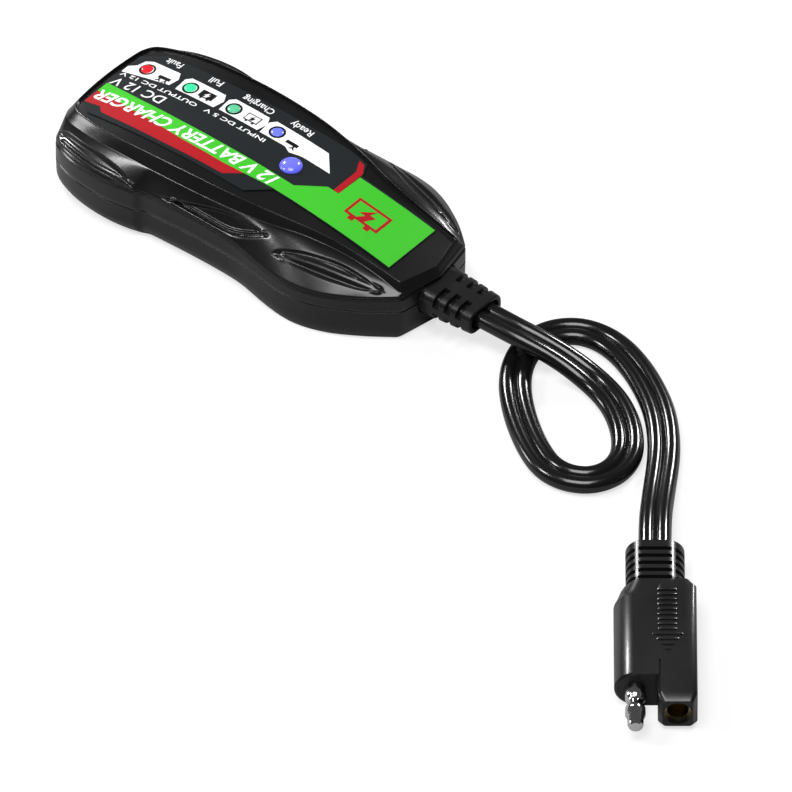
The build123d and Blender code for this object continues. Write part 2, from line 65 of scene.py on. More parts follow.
def spline_through(points: Plan, per_span: int = 24) -> np.ndarray:
    """A smooth line through plan points.

    Args:
        points: Points (x, y) in order.
        per_span: Samples between two points.

    Returns:
        Samples as an (n, 2) array.
    """
    p = np.array(points, float)
    ends = np.vstack([2 * p[0] - p[1], p, 2 * p[-1] - p[-2]])
    knots = np.concatenate([[0], np.cumsum(np.sqrt(np.linalg.norm(np.diff(ends, axis=0), axis=1)))])
    out = []
    for i in range(1, len(ends) - 2):
        t = np.linspace(knots[i], knots[i + 1], per_span, endpoint=False)[:, None]
        k0, k1, k2, k3 = knots[i - 1 : i + 3]
        p0, p1, p2, p3 = ends[i - 1 : i + 3]
        a1 = (k1 - t) / (k1 - k0) * p0 + (t - k0) / (k1 - k0) * p1
        a2 = (k2 - t) / (k2 - k1) * p1 + (t - k1) / (k2 - k1) * p2
        a3 = (k3 - t) / (k3 - k2) * p2 + (t - k2) / (k3 - k2) * p3
        b1 = (k2 - t) / (k2 - k0) * a1 + (t - k0) / (k2 - k0) * a2
        b2 = (k3 - t) / (k3 - k1) * a2 + (t - k1) / (k3 - k1) * a3
        out.append((k2 - t) / (k2 - k1) * b1 + (t - k1) / (k2 - k1) * b2)
    return np.vstack([*out, p[-1:]])


def resample(line: np.ndarray, count: int) -> np.ndarray:
    """The same line with count + 1 points evenly spaced along it."""
    along = np.concatenate([[0], np.cumsum(np.linalg.norm(np.diff(line, axis=0), axis=1))])
    at = np.linspace(0, along[-1], count + 1)
    return np.column_stack([np.interp(at, along, line[:, k]) for k in range(line.shape[1])])


def round_rows(rows: Rows, radii: list[float], steps: int = 4) -> Rows:
    """Rounds the crease at each row that has a radius.

    Args:
        rows: Control rows across a section, each an (n, 3) array.
        radii: Radius at each row, 0 for none; the two ends have none.
        steps: Spans in each rounding.

    Returns:
        The rows with each rounded crease replaced by a short curve.
    """
    out = [rows[0]]
    for before, here, after, radius in zip(rows, rows[1:], rows[2:], radii[1:]):
        if radius <= 0:
            out.append(here)
            continue
        back, ahead = before - here, after - here
        back_len = np.linalg.norm(back, axis=1, keepdims=True) + 1e-9
        ahead_len = np.linalg.norm(ahead, axis=1, keepdims=True) + 1e-9
        start = here + back / back_len * np.minimum(radius, back_len * 0.45)
        end = here + ahead / ahead_len * np.minimum(radius, ahead_len * 0.45)
        for t in np.linspace(0, 1, steps + 1):
            out.append((1 - t) ** 2 * start + 2 * t * (1 - t) * here + t * t * end)
    return [*out, rows[-1]]


def fill_rows(start: np.ndarray, end: np.ndarray, count: int) -> Rows:
    """Rows strictly between two rows, evenly spaced."""
    return [start + (end - start) * (i / count) for i in range(1, count)]


def grid_quads(rows: int, columns: int, first: int = 0, closed: bool = True) -> list[tuple[int, ...]]:
    """Quads between rows of points stored one after another."""
    i, j = np.meshgrid(np.arange(rows - 1), np.arange(columns if closed else columns - 1), indexing="ij")
    following = (j + 1) % columns
    a, b = first + i * columns, first + (i + 1) * columns
    return np.stack([a + j, a + following, b + following, b + j], -1).reshape(-1, 4).tolist()


def make_object(
    name: str, verts: np.ndarray, faces: list, materials: list[bpy.types.Material]
) -> bpy.types.Object:
    """An object at the origin from points in millimetres.

    Args:
        name: Name of the piece.
        verts: Points, (n, 3), in millimetres.
        faces: Vertex indices of each face.
        materials: Materials in slot order.

    Returns:
        The linked object, with its normals outward.
    """
    mesh = bpy.data.meshes.new(name)
    mesh.from_pydata((np.asarray(verts, float) * MM).tolist(), [], faces)
    piece = bpy.data.objects.new(name, mesh)
    bpy.context.scene.collection.objects.link(piece)
    for material in materials:
        mesh.materials.append(material)
    tidy_mesh(mesh)
    return piece


def tidy_mesh(mesh: bpy.types.Mesh, crease: float = 32.0, merge: float = 2e-7) -> None:
    """Merges doubles, turns the faces outward and shades smooth up to the crease angle."""
    work = bmesh.new()
    work.from_mesh(mesh)
    bmesh.ops.remove_doubles(work, verts=work.verts, dist=merge)
    bmesh.ops.dissolve_degenerate(work, edges=work.edges, dist=merge)
    bmesh.ops.recalc_face_normals(work, faces=work.faces)
    for face in work.faces:
        face.smooth = True
    work.to_mesh(mesh)
    work.free()
    mesh.set_sharp_from_angle(angle=math.radians(crease))


def evaluated_mesh(piece: bpy.types.Object) -> bpy.types.Mesh:
    """The piece's mesh with its modifiers worked in."""
    graph = bpy.context.evaluated_depsgraph_get()
    return bpy.data.meshes.new_from_object(piece.evaluated_get(graph))


def combine(piece: bpy.types.Object, tools: list[bpy.types.Object], operation: str) -> None:
    """Cuts or adds closed meshes, and leaves the result as a plain mesh.

    Args:
        piece: The object that is changed.
        tools: The closed meshes that are used up.
        operation: DIFFERENCE, UNION or INTERSECT.
    """
    for tool in tools:
        step = piece.modifiers.new("shape", "BOOLEAN")
        step.operation, step.object, step.solver = operation, tool, "MANIFOLD"
    old, new = piece.data, evaluated_mesh(piece)
    piece.modifiers.clear()
    new.name = piece.name
    piece.data = new
    bpy.data.meshes.remove(old)
    for tool in tools:
        bpy.data.objects.remove(tool)


def tube_along(name: str, sections: Rows, materials: list[bpy.types.Material]) -> bpy.types.Object:
    """A closed solid through ring sections, capped by a fan at both ends."""
    count = len(sections[0])
    verts = np.vstack([*sections, sections[0].mean(0), sections[-1].mean(0)])
    faces = grid_quads(len(sections), count)
    last = (len(sections) - 1) * count
    faces += [(len(verts) - 2, (i + 1) % count, i) for i in range(count)]
    faces += [(len(verts) - 1, last + i, last + (i + 1) % count) for i in range(count)]
    return make_object(name, verts, faces, materials)


def lathe(
    name: str,
    profile: Plan,
    material: bpy.types.Material,
    place: Matrix,
    segments: int = 64,
) -> bpy.types.Object:
    """A turned piece about its own Z, set in place.

    Args:
        name: Name of the piece.
        profile: Points (radius, height) in millimetres, from the axis back to the axis.
        material: Its finish.
        place: Where its own frame goes, in millimetres.
        segments: Sides of the turning.

    Returns:
        The linked object.
    """
    inner = [p for p in profile if p[0] > 1e-6]
    angles = np.linspace(0, 2 * math.pi, segments, endpoint=False)
    circle = np.column_stack([np.cos(angles), np.sin(angles)])
    rings = [np.column_stack([r * circle, np.full(segments, z)]) for r, z in inner]
    return placed(tube_along(name, rings, [material]), place)


def placed(piece: bpy.types.Object, place: Matrix) -> bpy.types.Object:
    """Moves the piece's own points by a placement in millimetres."""
    place_m = place.copy()
    place_m.translation *= MM
    piece.data.transform(place_m)
    return piece


def block(low: Triple, high: Triple) -> bpy.types.Object:
    """A block between two corners, used as a tool."""
    (x0, y0, z0), (x1, y1, z1) = low, high
    ring = np.array([(x0, y0), (x1, y0), (x1, y1), (x0, y1)])
    return tube_along("tool", [np.column_stack([ring, np.full(4, z)]) for z in (z0, z1)], [])


@dataclass(frozen=True)
class Slots:
    """A row of slots across a sleeve."""

    centres: tuple[float, ...]
    width: float
    depth: float
    edge: float = 0.09

    def stations(self, ends: list[float]) -> list[float]:
        """Ring places along the sleeve, with both edges of every slot."""
        sides = [c + side * self.width / 2 for c in self.centres for side in (-1, 1)]
        return sorted([*ends, *(x + step for x in sides for step in (-self.edge, self.edge))])

    def holds(self, x: float) -> bool:
        """Whether x lies in a slot."""
        return any(abs(x - c) < self.width / 2 for c in self.centres)

    def rings(
        self,
        ends: list[float],
        size_at: Callable[[float], Triple],
        solid: Callable[[np.ndarray, np.ndarray], np.ndarray],
        count: int = 192,
    ) -> Rows:
        """Rings of a slotted sleeve along X.

        Args:
            ends: Other ring places along the sleeve.
            size_at: Gives (width, height, radius) at x.
            solid: Tells from (y, z) where the sleeve is left whole.
            count: Points in a ring.

        Returns:
            One ring at each station, about the X axis.
        """
        found = []
        for x in self.stations(ends):
            width, height, radius = size_at(x)
            section = rounded_section(width, height, radius, count)
            if self.holds(x):
                reach = np.array([width / 2 - radius, height / 2 - radius])
                out = section - np.clip(section, -reach, reach)
                out /= np.linalg.norm(out, axis=1, keepdims=True) + 1e-9
                whole = solid(np.abs(section[:, 0]), np.abs(section[:, 1]))
                section = section - out * (self.depth * ~whole)[:, None]
            found.append(np.column_stack([np.full(count, x), section]))
        return found


def rounded_section(width: float, height: float, radius: float, count: int = 96) -> np.ndarray:
    """A rounded rectangle (y, z) about the origin, evenly sampled.

    Args:
        width: Size along y.
        height: Size along z.
        radius: Corner radius.
        count: Number of points.

    Returns:
        Points as a (count, 2) array.
    """
    radius = min(radius, width / 2 - 1e-3, height / 2 - 1e-3)
    a, b = width / 2 - radius, height / 2 - radius
    line = []
    for cy, cz, start in ((a, b, 0), (-a, b, 90), (-a, -b, 180), (a, -b, 270)):
        for angle in np.radians(np.linspace(start, start + 90, 13)):
            line.append((cy + radius * math.cos(angle), cz + radius * math.sin(angle)))
    line.append(line[0])
    return resample(np.array(line), count)[:-1]


def bar_rings(xs: list[float], centre_y: float, sizes: list[Triple], count: int = 96) -> Rows:
    """Rings of a rounded bar along X: one (width, height, radius) at each x."""
    rings = []
    for x, (width, height, radius) in zip(xs, sizes):
        section = rounded_section(width, height, radius, count)
        rings.append(np.column_stack([np.full(count, x), section[:, 0] + centre_y, section[:, 1]]))
    return rings


def post(x: float, y: float, low: float, high: float, diameter: float) -> bpy.types.Object:
    """An upright cylinder used as a tool."""
    profile = [(diameter / 2, low), (diameter / 2, high)]
    return lathe("tool", profile, None, Matrix.Translation((x, y, 0)), 48)


# ------------------------------------------------------------------------------------------
# Finishes
# ------------------------------------------------------------------------------------------


class Group(Enum):
    """Shader effects that several finishes share."""

    GRAIN = "moulding_grain"
    WEAR = "edge_wear"


@dataclass
class ShaderKit:
    """Builds the shared shader groups once."""

    made: dict[Group, bpy.types.NodeTree] = field(default_factory=dict)
    finishes: dict[str, bpy.types.Material] = field(default_factory=dict)

    def tree(self, kind: Group) -> bpy.types.NodeTree:
        """The node group of that kind."""
        if kind not in self.made:
            self.made[kind] = self.grain() if kind is Group.GRAIN else self.wear()
        return self.made[kind]

    def start(self, kind: Group, inputs: dict[str, float], outputs: list[str]) -> bpy.types.NodeTree:
        """An empty group with float sockets and its two end nodes."""
        tree = bpy.data.node_groups.new(kind.value, "ShaderNodeTree")
        for name, default in inputs.items():
            socket = tree.interface.new_socket(name, in_out="INPUT", socket_type="NodeSocketFloat")
            socket.default_value = default
        for name in outputs:
            tree.interface.new_socket(name, in_out="OUTPUT", socket_type="NodeSocketFloat")
        tree.nodes.new("NodeGroupInput").name = "in"
        tree.nodes.new("NodeGroupOutput").name = "out"
        return tree

    def grain(self) -> bpy.types.NodeTree:
        """Fine moulding texture: a height for bump and a slow variation for roughness."""
        tree = self.start(Group.GRAIN, {"Scale": 1800.0, "Slow Scale": 45.0}, ["Height", "Variation"])
        nodes, link = tree.nodes, tree.links.new
        where = nodes.new("ShaderNodeTexCoord")
        fine, slow = nodes.new("ShaderNodeTexNoise"), nodes.new("ShaderNodeTexNoise")
        fine.inputs["Detail"].default_value = 3.0
        slow.inputs["Detail"].default_value = 4.0
        for noise, scale, out in ((fine, "Scale", "Height"), (slow, "Slow Scale", "Variation")):
            link(where.outputs["Object"], noise.inputs["Vector"])
            link(nodes["in"].outputs[scale], noise.inputs["Scale"])
            link(noise.outputs["Fac"], nodes["out"].inputs[out])
        return tree

    def wear(self) -> bpy.types.NodeTree:
        """A mask along worn edges, broken up by noise."""
        tree = self.start(Group.WEAR, {"Low": 0.52, "High": 0.62, "Break Up": 260.0}, ["Mask"])
        nodes, link = tree.nodes, tree.links.new
        shape, where = nodes.new("ShaderNodeNewGeometry"), nodes.new("ShaderNodeTexCoord")
        ramp, noise, product = (
            nodes.new("ShaderNodeMapRange"),
            nodes.new("ShaderNodeTexNoise"),
            nodes.new("ShaderNodeMath"),
        )
        product.operation = "MULTIPLY"
        link(shape.outputs["Pointiness"], ramp.inputs["Value"])
        link(nodes["in"].outputs["Low"], ramp.inputs["From Min"])
        link(nodes["in"].outputs["High"], ramp.inputs["From Max"])
        link(where.outputs["Object"], noise.inputs["Vector"])
        link(nodes["in"].outputs["Break Up"], noise.inputs["Scale"])
        link(ramp.outputs["Result"], product.inputs[0])
        link(noise.outputs["Fac"], product.inputs[1])
        link(product.outputs["Value"], nodes["out"].inputs["Mask"])
        return tree


KIT = ShaderKit()


@dataclass(frozen=True)
class Finish:
    """A surface finish: its colours, gloss, grain and wear."""

    name: str
    colour: Triple
    second: Triple
    roughness: tuple[float, float]
    metallic: float = 0.0
    grain_scale: float = 1800.0
    slow_scale: float = 45.0
    bump: float = 0.05
    bump_reach: float = 0.00005
    coat: float = 0.0
    glow: float = 0.0
    specular: float = 0.5
    wear: float = 0.0

    def build(self) -> bpy.types.Material:
        """The material, made once and shared.

        Returns:
            A node material that varies over Object coordinates.
        """
        if self.name in KIT.finishes:
            return KIT.finishes[self.name]
        material = KIT.finishes[self.name] = bpy.data.materials.new(self.name)
        material.use_nodes = True
        nodes, link = material.node_tree.nodes, material.node_tree.links.new
        shader = nodes["Principled BSDF"]
        shader.inputs["Metallic"].default_value = self.metallic
        shader.inputs["Coat Weight"].default_value = self.coat
        shader.inputs["Coat Roughness"].default_value = 0.12
        shader.inputs["Specular IOR Level"].default_value = self.specular
        grain = nodes.new("ShaderNodeGroup")
        grain.node_tree = KIT.tree(Group.GRAIN)
        grain.inputs["Scale"].default_value = self.grain_scale
        grain.inputs["Slow Scale"].default_value = self.slow_scale
        tint = nodes.new("ShaderNodeMix")
        tint.data_type = "RGBA"
        tint.inputs["A"].default_value = (*self.colour, 1)
        tint.inputs["B"].default_value = (*self.second, 1)
        link(grain.outputs["Variation"], tint.inputs["Factor"])
        link(tint.outputs["Result"], shader.inputs["Base Color"])
        gloss = nodes.new("ShaderNodeMapRange")
        gloss.inputs["From Min"].default_value = 0.3
        gloss.inputs["From Max"].default_value = 0.7
        gloss.inputs["To Min"].default_value, gloss.inputs["To Max"].default_value = self.roughness
        link(grain.outputs["Variation"], gloss.inputs["Value"])
        rough = gloss.outputs["Result"]
        if self.wear > 0:
            worn = nodes.new("ShaderNodeGroup")
            worn.node_tree = KIT.tree(Group.WEAR)
            rub = nodes.new("ShaderNodeMath")
            rub.operation = "MULTIPLY_ADD"
            rub.inputs[1].default_value = -self.wear
            link(worn.outputs["Mask"], rub.inputs[0])
            link(rough, rub.inputs[2])
            rough = rub.outputs["Value"]
        link(rough, shader.inputs["Roughness"])
        bump = nodes.new("ShaderNodeBump")
        bump.inputs["Strength"].default_value = self.bump
        bump.inputs["Distance"].default_value = self.bump_reach
        link(grain.outputs["Height"], bump.inputs["Height"])
        link(bump.outputs["Normal"], shader.inputs["Normal"])
        if self.glow > 0:
            link(tint.outputs["Result"], shader.inputs["Emission Color"])
            shader.inputs["Emission Strength"].default_value = self.glow
        return material


HOUSING = Finish(
    "black_moulding", (0.0040, 0.0041, 0.0044), (0.0056, 0.0057, 0.0060),
    (0.22, 0.30), bump=0.08, wear=0.08, coat=0.2,
)
PVC = Finish(
    "soft_pvc", (0.0050, 0.0050, 0.0054), (0.0075, 0.0075, 0.008),
    (0.26, 0.36), grain_scale=1200, bump=0.12, coat=0.15,
)
JACKET = Finish(
    "flexible_jacket", (0.0042, 0.0042, 0.0045), (0.006, 0.006, 0.0065),
    (0.16, 0.24), grain_scale=900, bump=0.06, coat=0.3,
)
CHROME = Finish(
    "bright_nickel", (0.78, 0.78, 0.79), (0.86, 0.86, 0.87),
    (0.05, 0.12), metallic=1.0, bump=0.02,
)
STEEL = Finish("plated_steel", (0.52, 0.52, 0.54), (0.62, 0.62, 0.63), (0.22, 0.36), metallic=1.0, bump=0.05)
BRASS = Finish("tinned_brass", (0.62, 0.50, 0.24), (0.72, 0.60, 0.32), (0.20, 0.34), metallic=1.0, bump=0.05)
BOARD = Finish(
    "solder_mask", (0.010, 0.10, 0.035), (0.016, 0.14, 0.05),
    (0.30, 0.42), grain_scale=700, coat=0.3,
)
EPOXY = Finish(
    "dark_epoxy", (0.020, 0.020, 0.021), (0.032, 0.032, 0.033),
    (0.5, 0.65), grain_scale=2600, bump=0.3,
)
CERAMIC = Finish(
    "white_ceramic", (0.70, 0.70, 0.67), (0.78, 0.78, 0.76),
    (0.4, 0.55), grain_scale=2000, bump=0.1,
)
CAN = Finish("capacitor_can", (0.55, 0.56, 0.58), (0.66, 0.67, 0.69), (0.25, 0.4), metallic=1.0, bump=0.08)
RED_CORE = Finish(
    "red_core", (0.42, 0.012, 0.014), (0.52, 0.02, 0.02),
    (0.3, 0.42), grain_scale=900, bump=0.1,
)
FILM = Finish(
    "film_charcoal", (0.0125, 0.0155, 0.0170), (0.0155, 0.0185, 0.020),
    (0.36, 0.46), bump=0.06, specular=0.1,
)
BLACK_INK = Finish(
    "film_black", (0.004, 0.004, 0.004), (0.006, 0.006, 0.006),
    (0.4, 0.5), bump=0.05, specular=0.1,
)
GREEN_INK = Finish(
    "film_green", (0.046, 0.47, 0.024), (0.056, 0.51, 0.030),
    (0.38, 0.48), bump=0.05, specular=0.1,
)
RED_INK = Finish(
    "film_red", (0.36, 0.008, 0.014), (0.42, 0.012, 0.018),
    (0.38, 0.48), bump=0.05, specular=0.1,
)
WHITE_INK = Finish("film_white", (0.86, 0.87, 0.87), (0.90, 0.90, 0.90), (0.40, 0.5), bump=0.05, specular=0.1)
# The blue dome's emission is a painted glow: the button cap holds no lamp, so its lit look is painted light.
DOME_BLUE_PAINTED_GLOW = Finish("dome_blue", (0.11, 0.12, 0.98), (0.15, 0.16, 1.0), (0.12, 0.2), coat=0.6, glow=0.35)
LENS_RED = Finish("clear_red", (0.72, 0.010, 0.022), (0.82, 0.02, 0.03), (0.12, 0.2), coat=0.6, glow=0.3)
LENS_MINT = Finish("clear_mint", (0.04, 0.72, 0.28), (0.05, 0.80, 0.34), (0.12, 0.2), coat=0.6, glow=0.3)
LENS_DULL = Finish(
    "clear_green_dim", (0.10, 0.50, 0.26), (0.12, 0.58, 0.32),
    (0.14, 0.22), coat=0.6, glow=0.15,
)
LENS_BLUE = Finish("clear_blue", (0.12, 0.14, 0.90), (0.15, 0.18, 0.96), (0.12, 0.2), coat=0.6, glow=0.3)


def settle(piece: bpy.types.Object, body: str, slot: str, *nodes: str) -> bpy.types.Object:
    """Rides the piece on its body and hides the nodes that it stands for.

    Args:
        piece: The finished object.
        body: The body that it moves with.
        slot: The record's material slot; not used.
        nodes: CAD nodes that it stands for.

    Returns:
        The same object.
    """
    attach(piece, body)
    if nodes:
        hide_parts(*nodes)
    LOG.info("%s: %d faces on %s", piece.name, len(piece.data.polygons), body)
    return piece


class Repeat:
    """Repeats one shape over a set of points with Geometry Nodes."""

    def __init__(self) -> None:
        """Builds the node tree once."""
        tree = bpy.data.node_groups.new("repeat_shape", "GeometryNodeTree")
        self.tree = tree
        self.sockets = {}
        for name, kind in (
            ("Points", "NodeSocketGeometry"),
            ("Shape", "NodeSocketObject"),
            ("Turn", "NodeSocketFloat"),
            ("Seed", "NodeSocketInt"),
            ("Finish", "NodeSocketMaterial"),
        ):
            self.sockets[name] = tree.interface.new_socket(name, in_out="INPUT", socket_type=kind).identifier
        tree.interface.new_socket("Geometry", in_out="OUTPUT", socket_type="NodeSocketGeometry")
        make, link = tree.nodes.new, tree.links.new
        start, end = make("NodeGroupInput"), make("NodeGroupOutput")
        shape, size = make("GeometryNodeObjectInfo"), make("GeometryNodeInputNamedAttribute")
        chance, turn = make("FunctionNodeRandomValue"), make("ShaderNodeCombineXYZ")
        copies, real, paint = (
            make("GeometryNodeInstanceOnPoints"),
            make("GeometryNodeRealizeInstances"),
            make("GeometryNodeSetMaterial"),
        )
        size.data_type = "FLOAT_VECTOR"
        size.inputs["Name"].default_value = "size"
        chance.data_type = "FLOAT"
        chance.inputs[2].default_value = 0.0
        link(start.outputs["Turn"], chance.inputs[3])
        link(start.outputs["Seed"], chance.inputs["Seed"])
        link(chance.outputs[1], turn.inputs["Z"])
        link(start.outputs["Shape"], shape.inputs["Object"])
        link(start.outputs["Points"], copies.inputs["Points"])
        link(shape.outputs["Geometry"], copies.inputs["Instance"])
        link(turn.outputs["Vector"], copies.inputs["Rotation"])
        link(size.outputs["Attribute"], copies.inputs["Scale"])
        link(copies.outputs["Instances"], real.inputs["Geometry"])
        link(real.outputs["Geometry"], paint.inputs["Geometry"])
        link(start.outputs["Finish"], paint.inputs["Material"])
        link(paint.outputs["Geometry"], end.inputs["Geometry"])

    def over(
        self,
        name: str,
        shape: bpy.types.Object,
        spots: list[Triple],
        sizes: list[Triple],
        finish: Finish,
        turn: float = 0.0,
    ) -> bpy.types.Object:
        """Puts a copy of the shape on every spot.

        Args:
            name: Name of the piece.
            shape: The shape, in metres about the origin; used up.
            spots: Places in millimetres.
            sizes: Scale of each copy.
            finish: The finish of all copies.
            turn: Largest chance turn about Z, in radians.

        Returns:
            A plain mesh object.
        """
        mesh = bpy.data.meshes.new(name)
        mesh.from_pydata((np.array(spots, float) * MM).tolist(), [], [])
        mesh.attributes.new("size", "FLOAT_VECTOR", "POINT").data.foreach_set("vector", np.ravel(sizes))
        piece = bpy.data.objects.new(name, mesh)
        bpy.context.scene.collection.objects.link(piece)
        step = piece.modifiers.new("repeat", "NODES")
        step.node_group = self.tree
        for socket, value in (("Shape", shape), ("Turn", turn), ("Seed", 7), ("Finish", finish.build())):
            step[self.sockets[socket]] = value
        made = evaluated_mesh(piece)
        piece.modifiers.clear()
        made.name = name
        piece.data = made
        bpy.data.meshes.remove(mesh)
        bpy.data.objects.remove(shape)
        tidy_mesh(made)
        return piece


LEAD_Z = 8.4
INLET_Z = 10.63
PLUG_Z = 4.75
LABEL_DROP = 0.5
SHELL_DEPTH = 2.6
LENS_Y = 6.8
LENS_HOLE = 3.4
BUTTON_SPOT = (5.8, 0.2)
BUTTON_HOLE = 5.8
SCREW_SPOTS = [(-36.0, -13.8), (-36.0, 13.8), (32.0, -13.0), (32.0, 13.0)]


# ------------------------------------------------------------------------------------------
# Studio and lead
# ------------------------------------------------------------------------------------------


@dataclass
class Studio:
    """Camera, lights and floor."""

    azimuth: float = 39.5
    elevation: float = 41.5
    look_at: Triple = (59.4, -27.1, 0.0)
    width: float = 180.0
    lens: float = 1200.0
    sensor: float = 36.0
    world: float = 0.07
    floor_half: float = 2500.0
    floor_lift: float = 0.68

    def build(self) -> None:
        """Makes everything that isn't part of the charger."""
        scene = bpy.context.scene
        scene.view_settings.view_transform = "Standard"
        a, e = math.radians(self.azimuth), math.radians(self.elevation)
        back = Vector((math.sin(a) * math.cos(e), -math.cos(a) * math.cos(e), math.sin(e)))
        data = bpy.data.cameras.new("camera")
        data.lens, data.sensor_width = self.lens, self.sensor
        data.clip_start, data.clip_end = 0.05, 40.0
        camera = bpy.data.objects.new("camera", data)
        scene.collection.objects.link(camera)
        camera.location = (Vector(self.look_at) + back * (self.width * self.lens / self.sensor)) * MM
        camera.rotation_euler = (-back).to_track_quat("-Z", "Y").to_euler()
        scene.camera = camera
        self.light("key", (0.16, -0.24, 0.80), 0.46, 5.0)
        self.light("band", (-0.42, -0.44, 0.62), 0.16, 2.2)
        self.light("side", (-0.62, -0.30, 0.20), 0.14, 0.8)
        self.light("back_left", (-0.62, 0.24, 0.44), 0.12, 2.8)
        self.light("back_right", (0.00, 0.72, 0.44), 0.12, 2.8)
        world = bpy.data.worlds.new("studio")
        world.use_nodes = True
        sky = world.node_tree.nodes["Background"]
        sky.inputs["Color"].default_value = (1, 1, 1, 1)
        sky.inputs["Strength"].default_value = self.world
        scene.world = world
        self.floor()

    def light(self, name: str, spot: Triple, size: float, power: float) -> None:
        """A soft square light that faces the charger."""
        data = bpy.data.lights.new(name, "AREA")
        data.energy, data.size = power, size
        lamp = bpy.data.objects.new(name, data)
        bpy.context.scene.collection.objects.link(lamp)
        lamp.location = spot
        lamp.rotation_euler = (Vector((0.05, -0.01, 0.0)) - Vector(spot)).to_track_quat("-Z", "Y").to_euler()

    def floor(self) -> None:
        """A plain pale floor under the charger."""
        size = self.floor_half
        verts = np.array([(-size, -size, 0), (size, -size, 0), (size, size, 0), (-size, size, 0)])
        matt = Finish("floor", (0.34, 0.34, 0.34), (0.36, 0.36, 0.36), (0.8, 0.9), bump=0.0, specular=0.1)
        finish = matt.build()
        nodes, link = finish.node_tree.nodes, finish.node_tree.links.new
        path, share = nodes.new("ShaderNodeLightPath"), nodes.new("ShaderNodeMath")
        share.operation = "MULTIPLY"
        share.inputs[1].default_value = self.floor_lift
        link(path.outputs["Is Camera Ray"], share.inputs[0])
        nodes["Principled BSDF"].inputs["Emission Color"].default_value = (1, 1, 1, 1)
        link(share.outputs["Value"], nodes["Principled BSDF"].inputs["Emission Strength"])
        mesh = bpy.data.meshes.new("floor")
        mesh.from_pydata((verts * MM).tolist(), [], [(0, 1, 2, 3)])
        mesh.materials.append(finish)
        plane = bpy.data.objects.new("floor", mesh)
        bpy.context.scene.collection.objects.link(plane)


@dataclass
class TwinLead:
    """Flat twin lead that lies in one loop between the strain relief and the plug."""

    core: float = 3.9
    spacing: float = 3.6
    lying: float = 1.97
    length: float = 0.2225
    notch: float = 0.16

    def route(self) -> list[Triple]:
        """The centre line's control points in millimetres."""
        low = self.lying
        return [
            (62.2, 0.0, LEAD_Z), (70.2, 0.0, LEAD_Z), (77.6, 1.4, 7.1), (85.2, 3.3, 4.4), (92.6, 3.5, 2.3),
            (99.8, 1.4, low), (106.0, -2.4, low), (111.0, -6.9, low), (114.6, -12.0, low),
            (115.6, -17.8, low), (113.4, -23.0, low), (108.6, -25.9, low), (102.9, -26.0, low),
            (96.8, -23.2, low), (90.4, -19.0, low), (84.5, -14.2, low), (79.2, -8.8, low),
            (75.2, -2.8, low), (73.2, 3.6, low), (74.0, 9.8, low), (77.8, 14.5, low), (83.4, 16.4, low),
            (89.8, 15.9, low), (96.6, 13.5, low), (103.4, 9.9, low), (110.0, 5.4, low), (116.0, -0.3, low),
            (121.5, -7.0, low), (128.7, -17.9, 2.7), (135.6, -27.76, PLUG_Z), (144.0, -37.95, PLUG_Z),
        ]  # fmt: skip

    def centre_line(self) -> np.ndarray:
        """Points along the smooth spline through the route, in millimetres."""
        data = bpy.data.curves.new("lead_route", "CURVE")
        data.dimensions, data.resolution_u = "3D", 10
        spline = data.splines.new("NURBS")
        points = self.route()
        spline.points.add(len(points) - 1)
        for point, place in zip(spline.points, points):
            point.co = (*(c * MM for c in place), 1.0)
        spline.order_u = 3
        spline.use_endpoint_u = True
        route = bpy.data.objects.new("lead_route", data)
        bpy.context.scene.collection.objects.link(route)
        line = bpy.data.meshes.new_from_object(route)
        found = np.array([v.co for v in line.vertices], float) / MM
        bpy.data.objects.remove(route)
        bpy.data.curves.remove(data)
        bpy.data.meshes.remove(line)
        return found

    def section(self) -> np.ndarray:
        """The figure-eight section (across, up) about the centre line."""
        radius, half = self.core / 2, self.spacing / 2
        reach = math.pi - math.acos(half / radius) - self.notch
        lobe = np.linspace(-reach, reach, 25)
        right = np.column_stack([half + radius * np.cos(lobe), radius * np.sin(lobe)])
        return np.vstack([right, -right])

    def build(self, plug_pieces: list[bpy.types.Object]) -> bpy.types.Object:
        """Args:
            plug_pieces: The pieces on the far end and the strain relief; not used.

        Returns:
            The lead.
        """
        line = self.centre_line()
        step = np.gradient(line, axis=0)
        along = step / np.linalg.norm(step, axis=1, keepdims=True)
        across = np.cross(along, (0, 0, 1.0))
        across /= np.linalg.norm(across, axis=1, keepdims=True)
        up = np.cross(across, along)
        section = self.section()
        rings = [p + section[:, :1] * a + section[:, 1:] * u for p, a, u in zip(line, across, up)]
        lead = tube_along("output_lead_jacket", rings, [JACKET.build()])
        settle(lead, "root", "lead_jacket", "output_lead")
        length = float(np.linalg.norm(np.diff(line, axis=0), axis=1).sum()) * MM
        LOG.info("lead %.4f m", length)
        return lead


# ------------------------------------------------------------------------------------------
# Housing
# ------------------------------------------------------------------------------------------


@dataclass
class Crown:
    """The roof's single lengthwise arc."""

    top: float = 22.4
    radius: float = 236.0
    peak_x: float = -9.0

    def z(self, x: np.ndarray | float, drop: float = 0.0) -> np.ndarray:
        """Height of the roof at x, lowered by drop."""
        along = np.asarray(x, float) - self.peak_x
        return self.top - self.radius + np.sqrt((self.radius - drop) ** 2 - along**2)


CROWN = Crown()


def line_distance(x: np.ndarray, u: np.ndarray, line: np.ndarray) -> np.ndarray:
    """Distance from each point (x, u) to a line of points."""
    start, edge = line[:-1], np.diff(line, axis=0)
    rel = np.column_stack([x, u])[:, None, :] - start[None]
    t = np.clip((rel * edge).sum(-1) / ((edge**2).sum(-1) + 1e-12), 0, 1)
    return np.linalg.norm(rel - t[..., None] * edge, axis=-1).min(1)


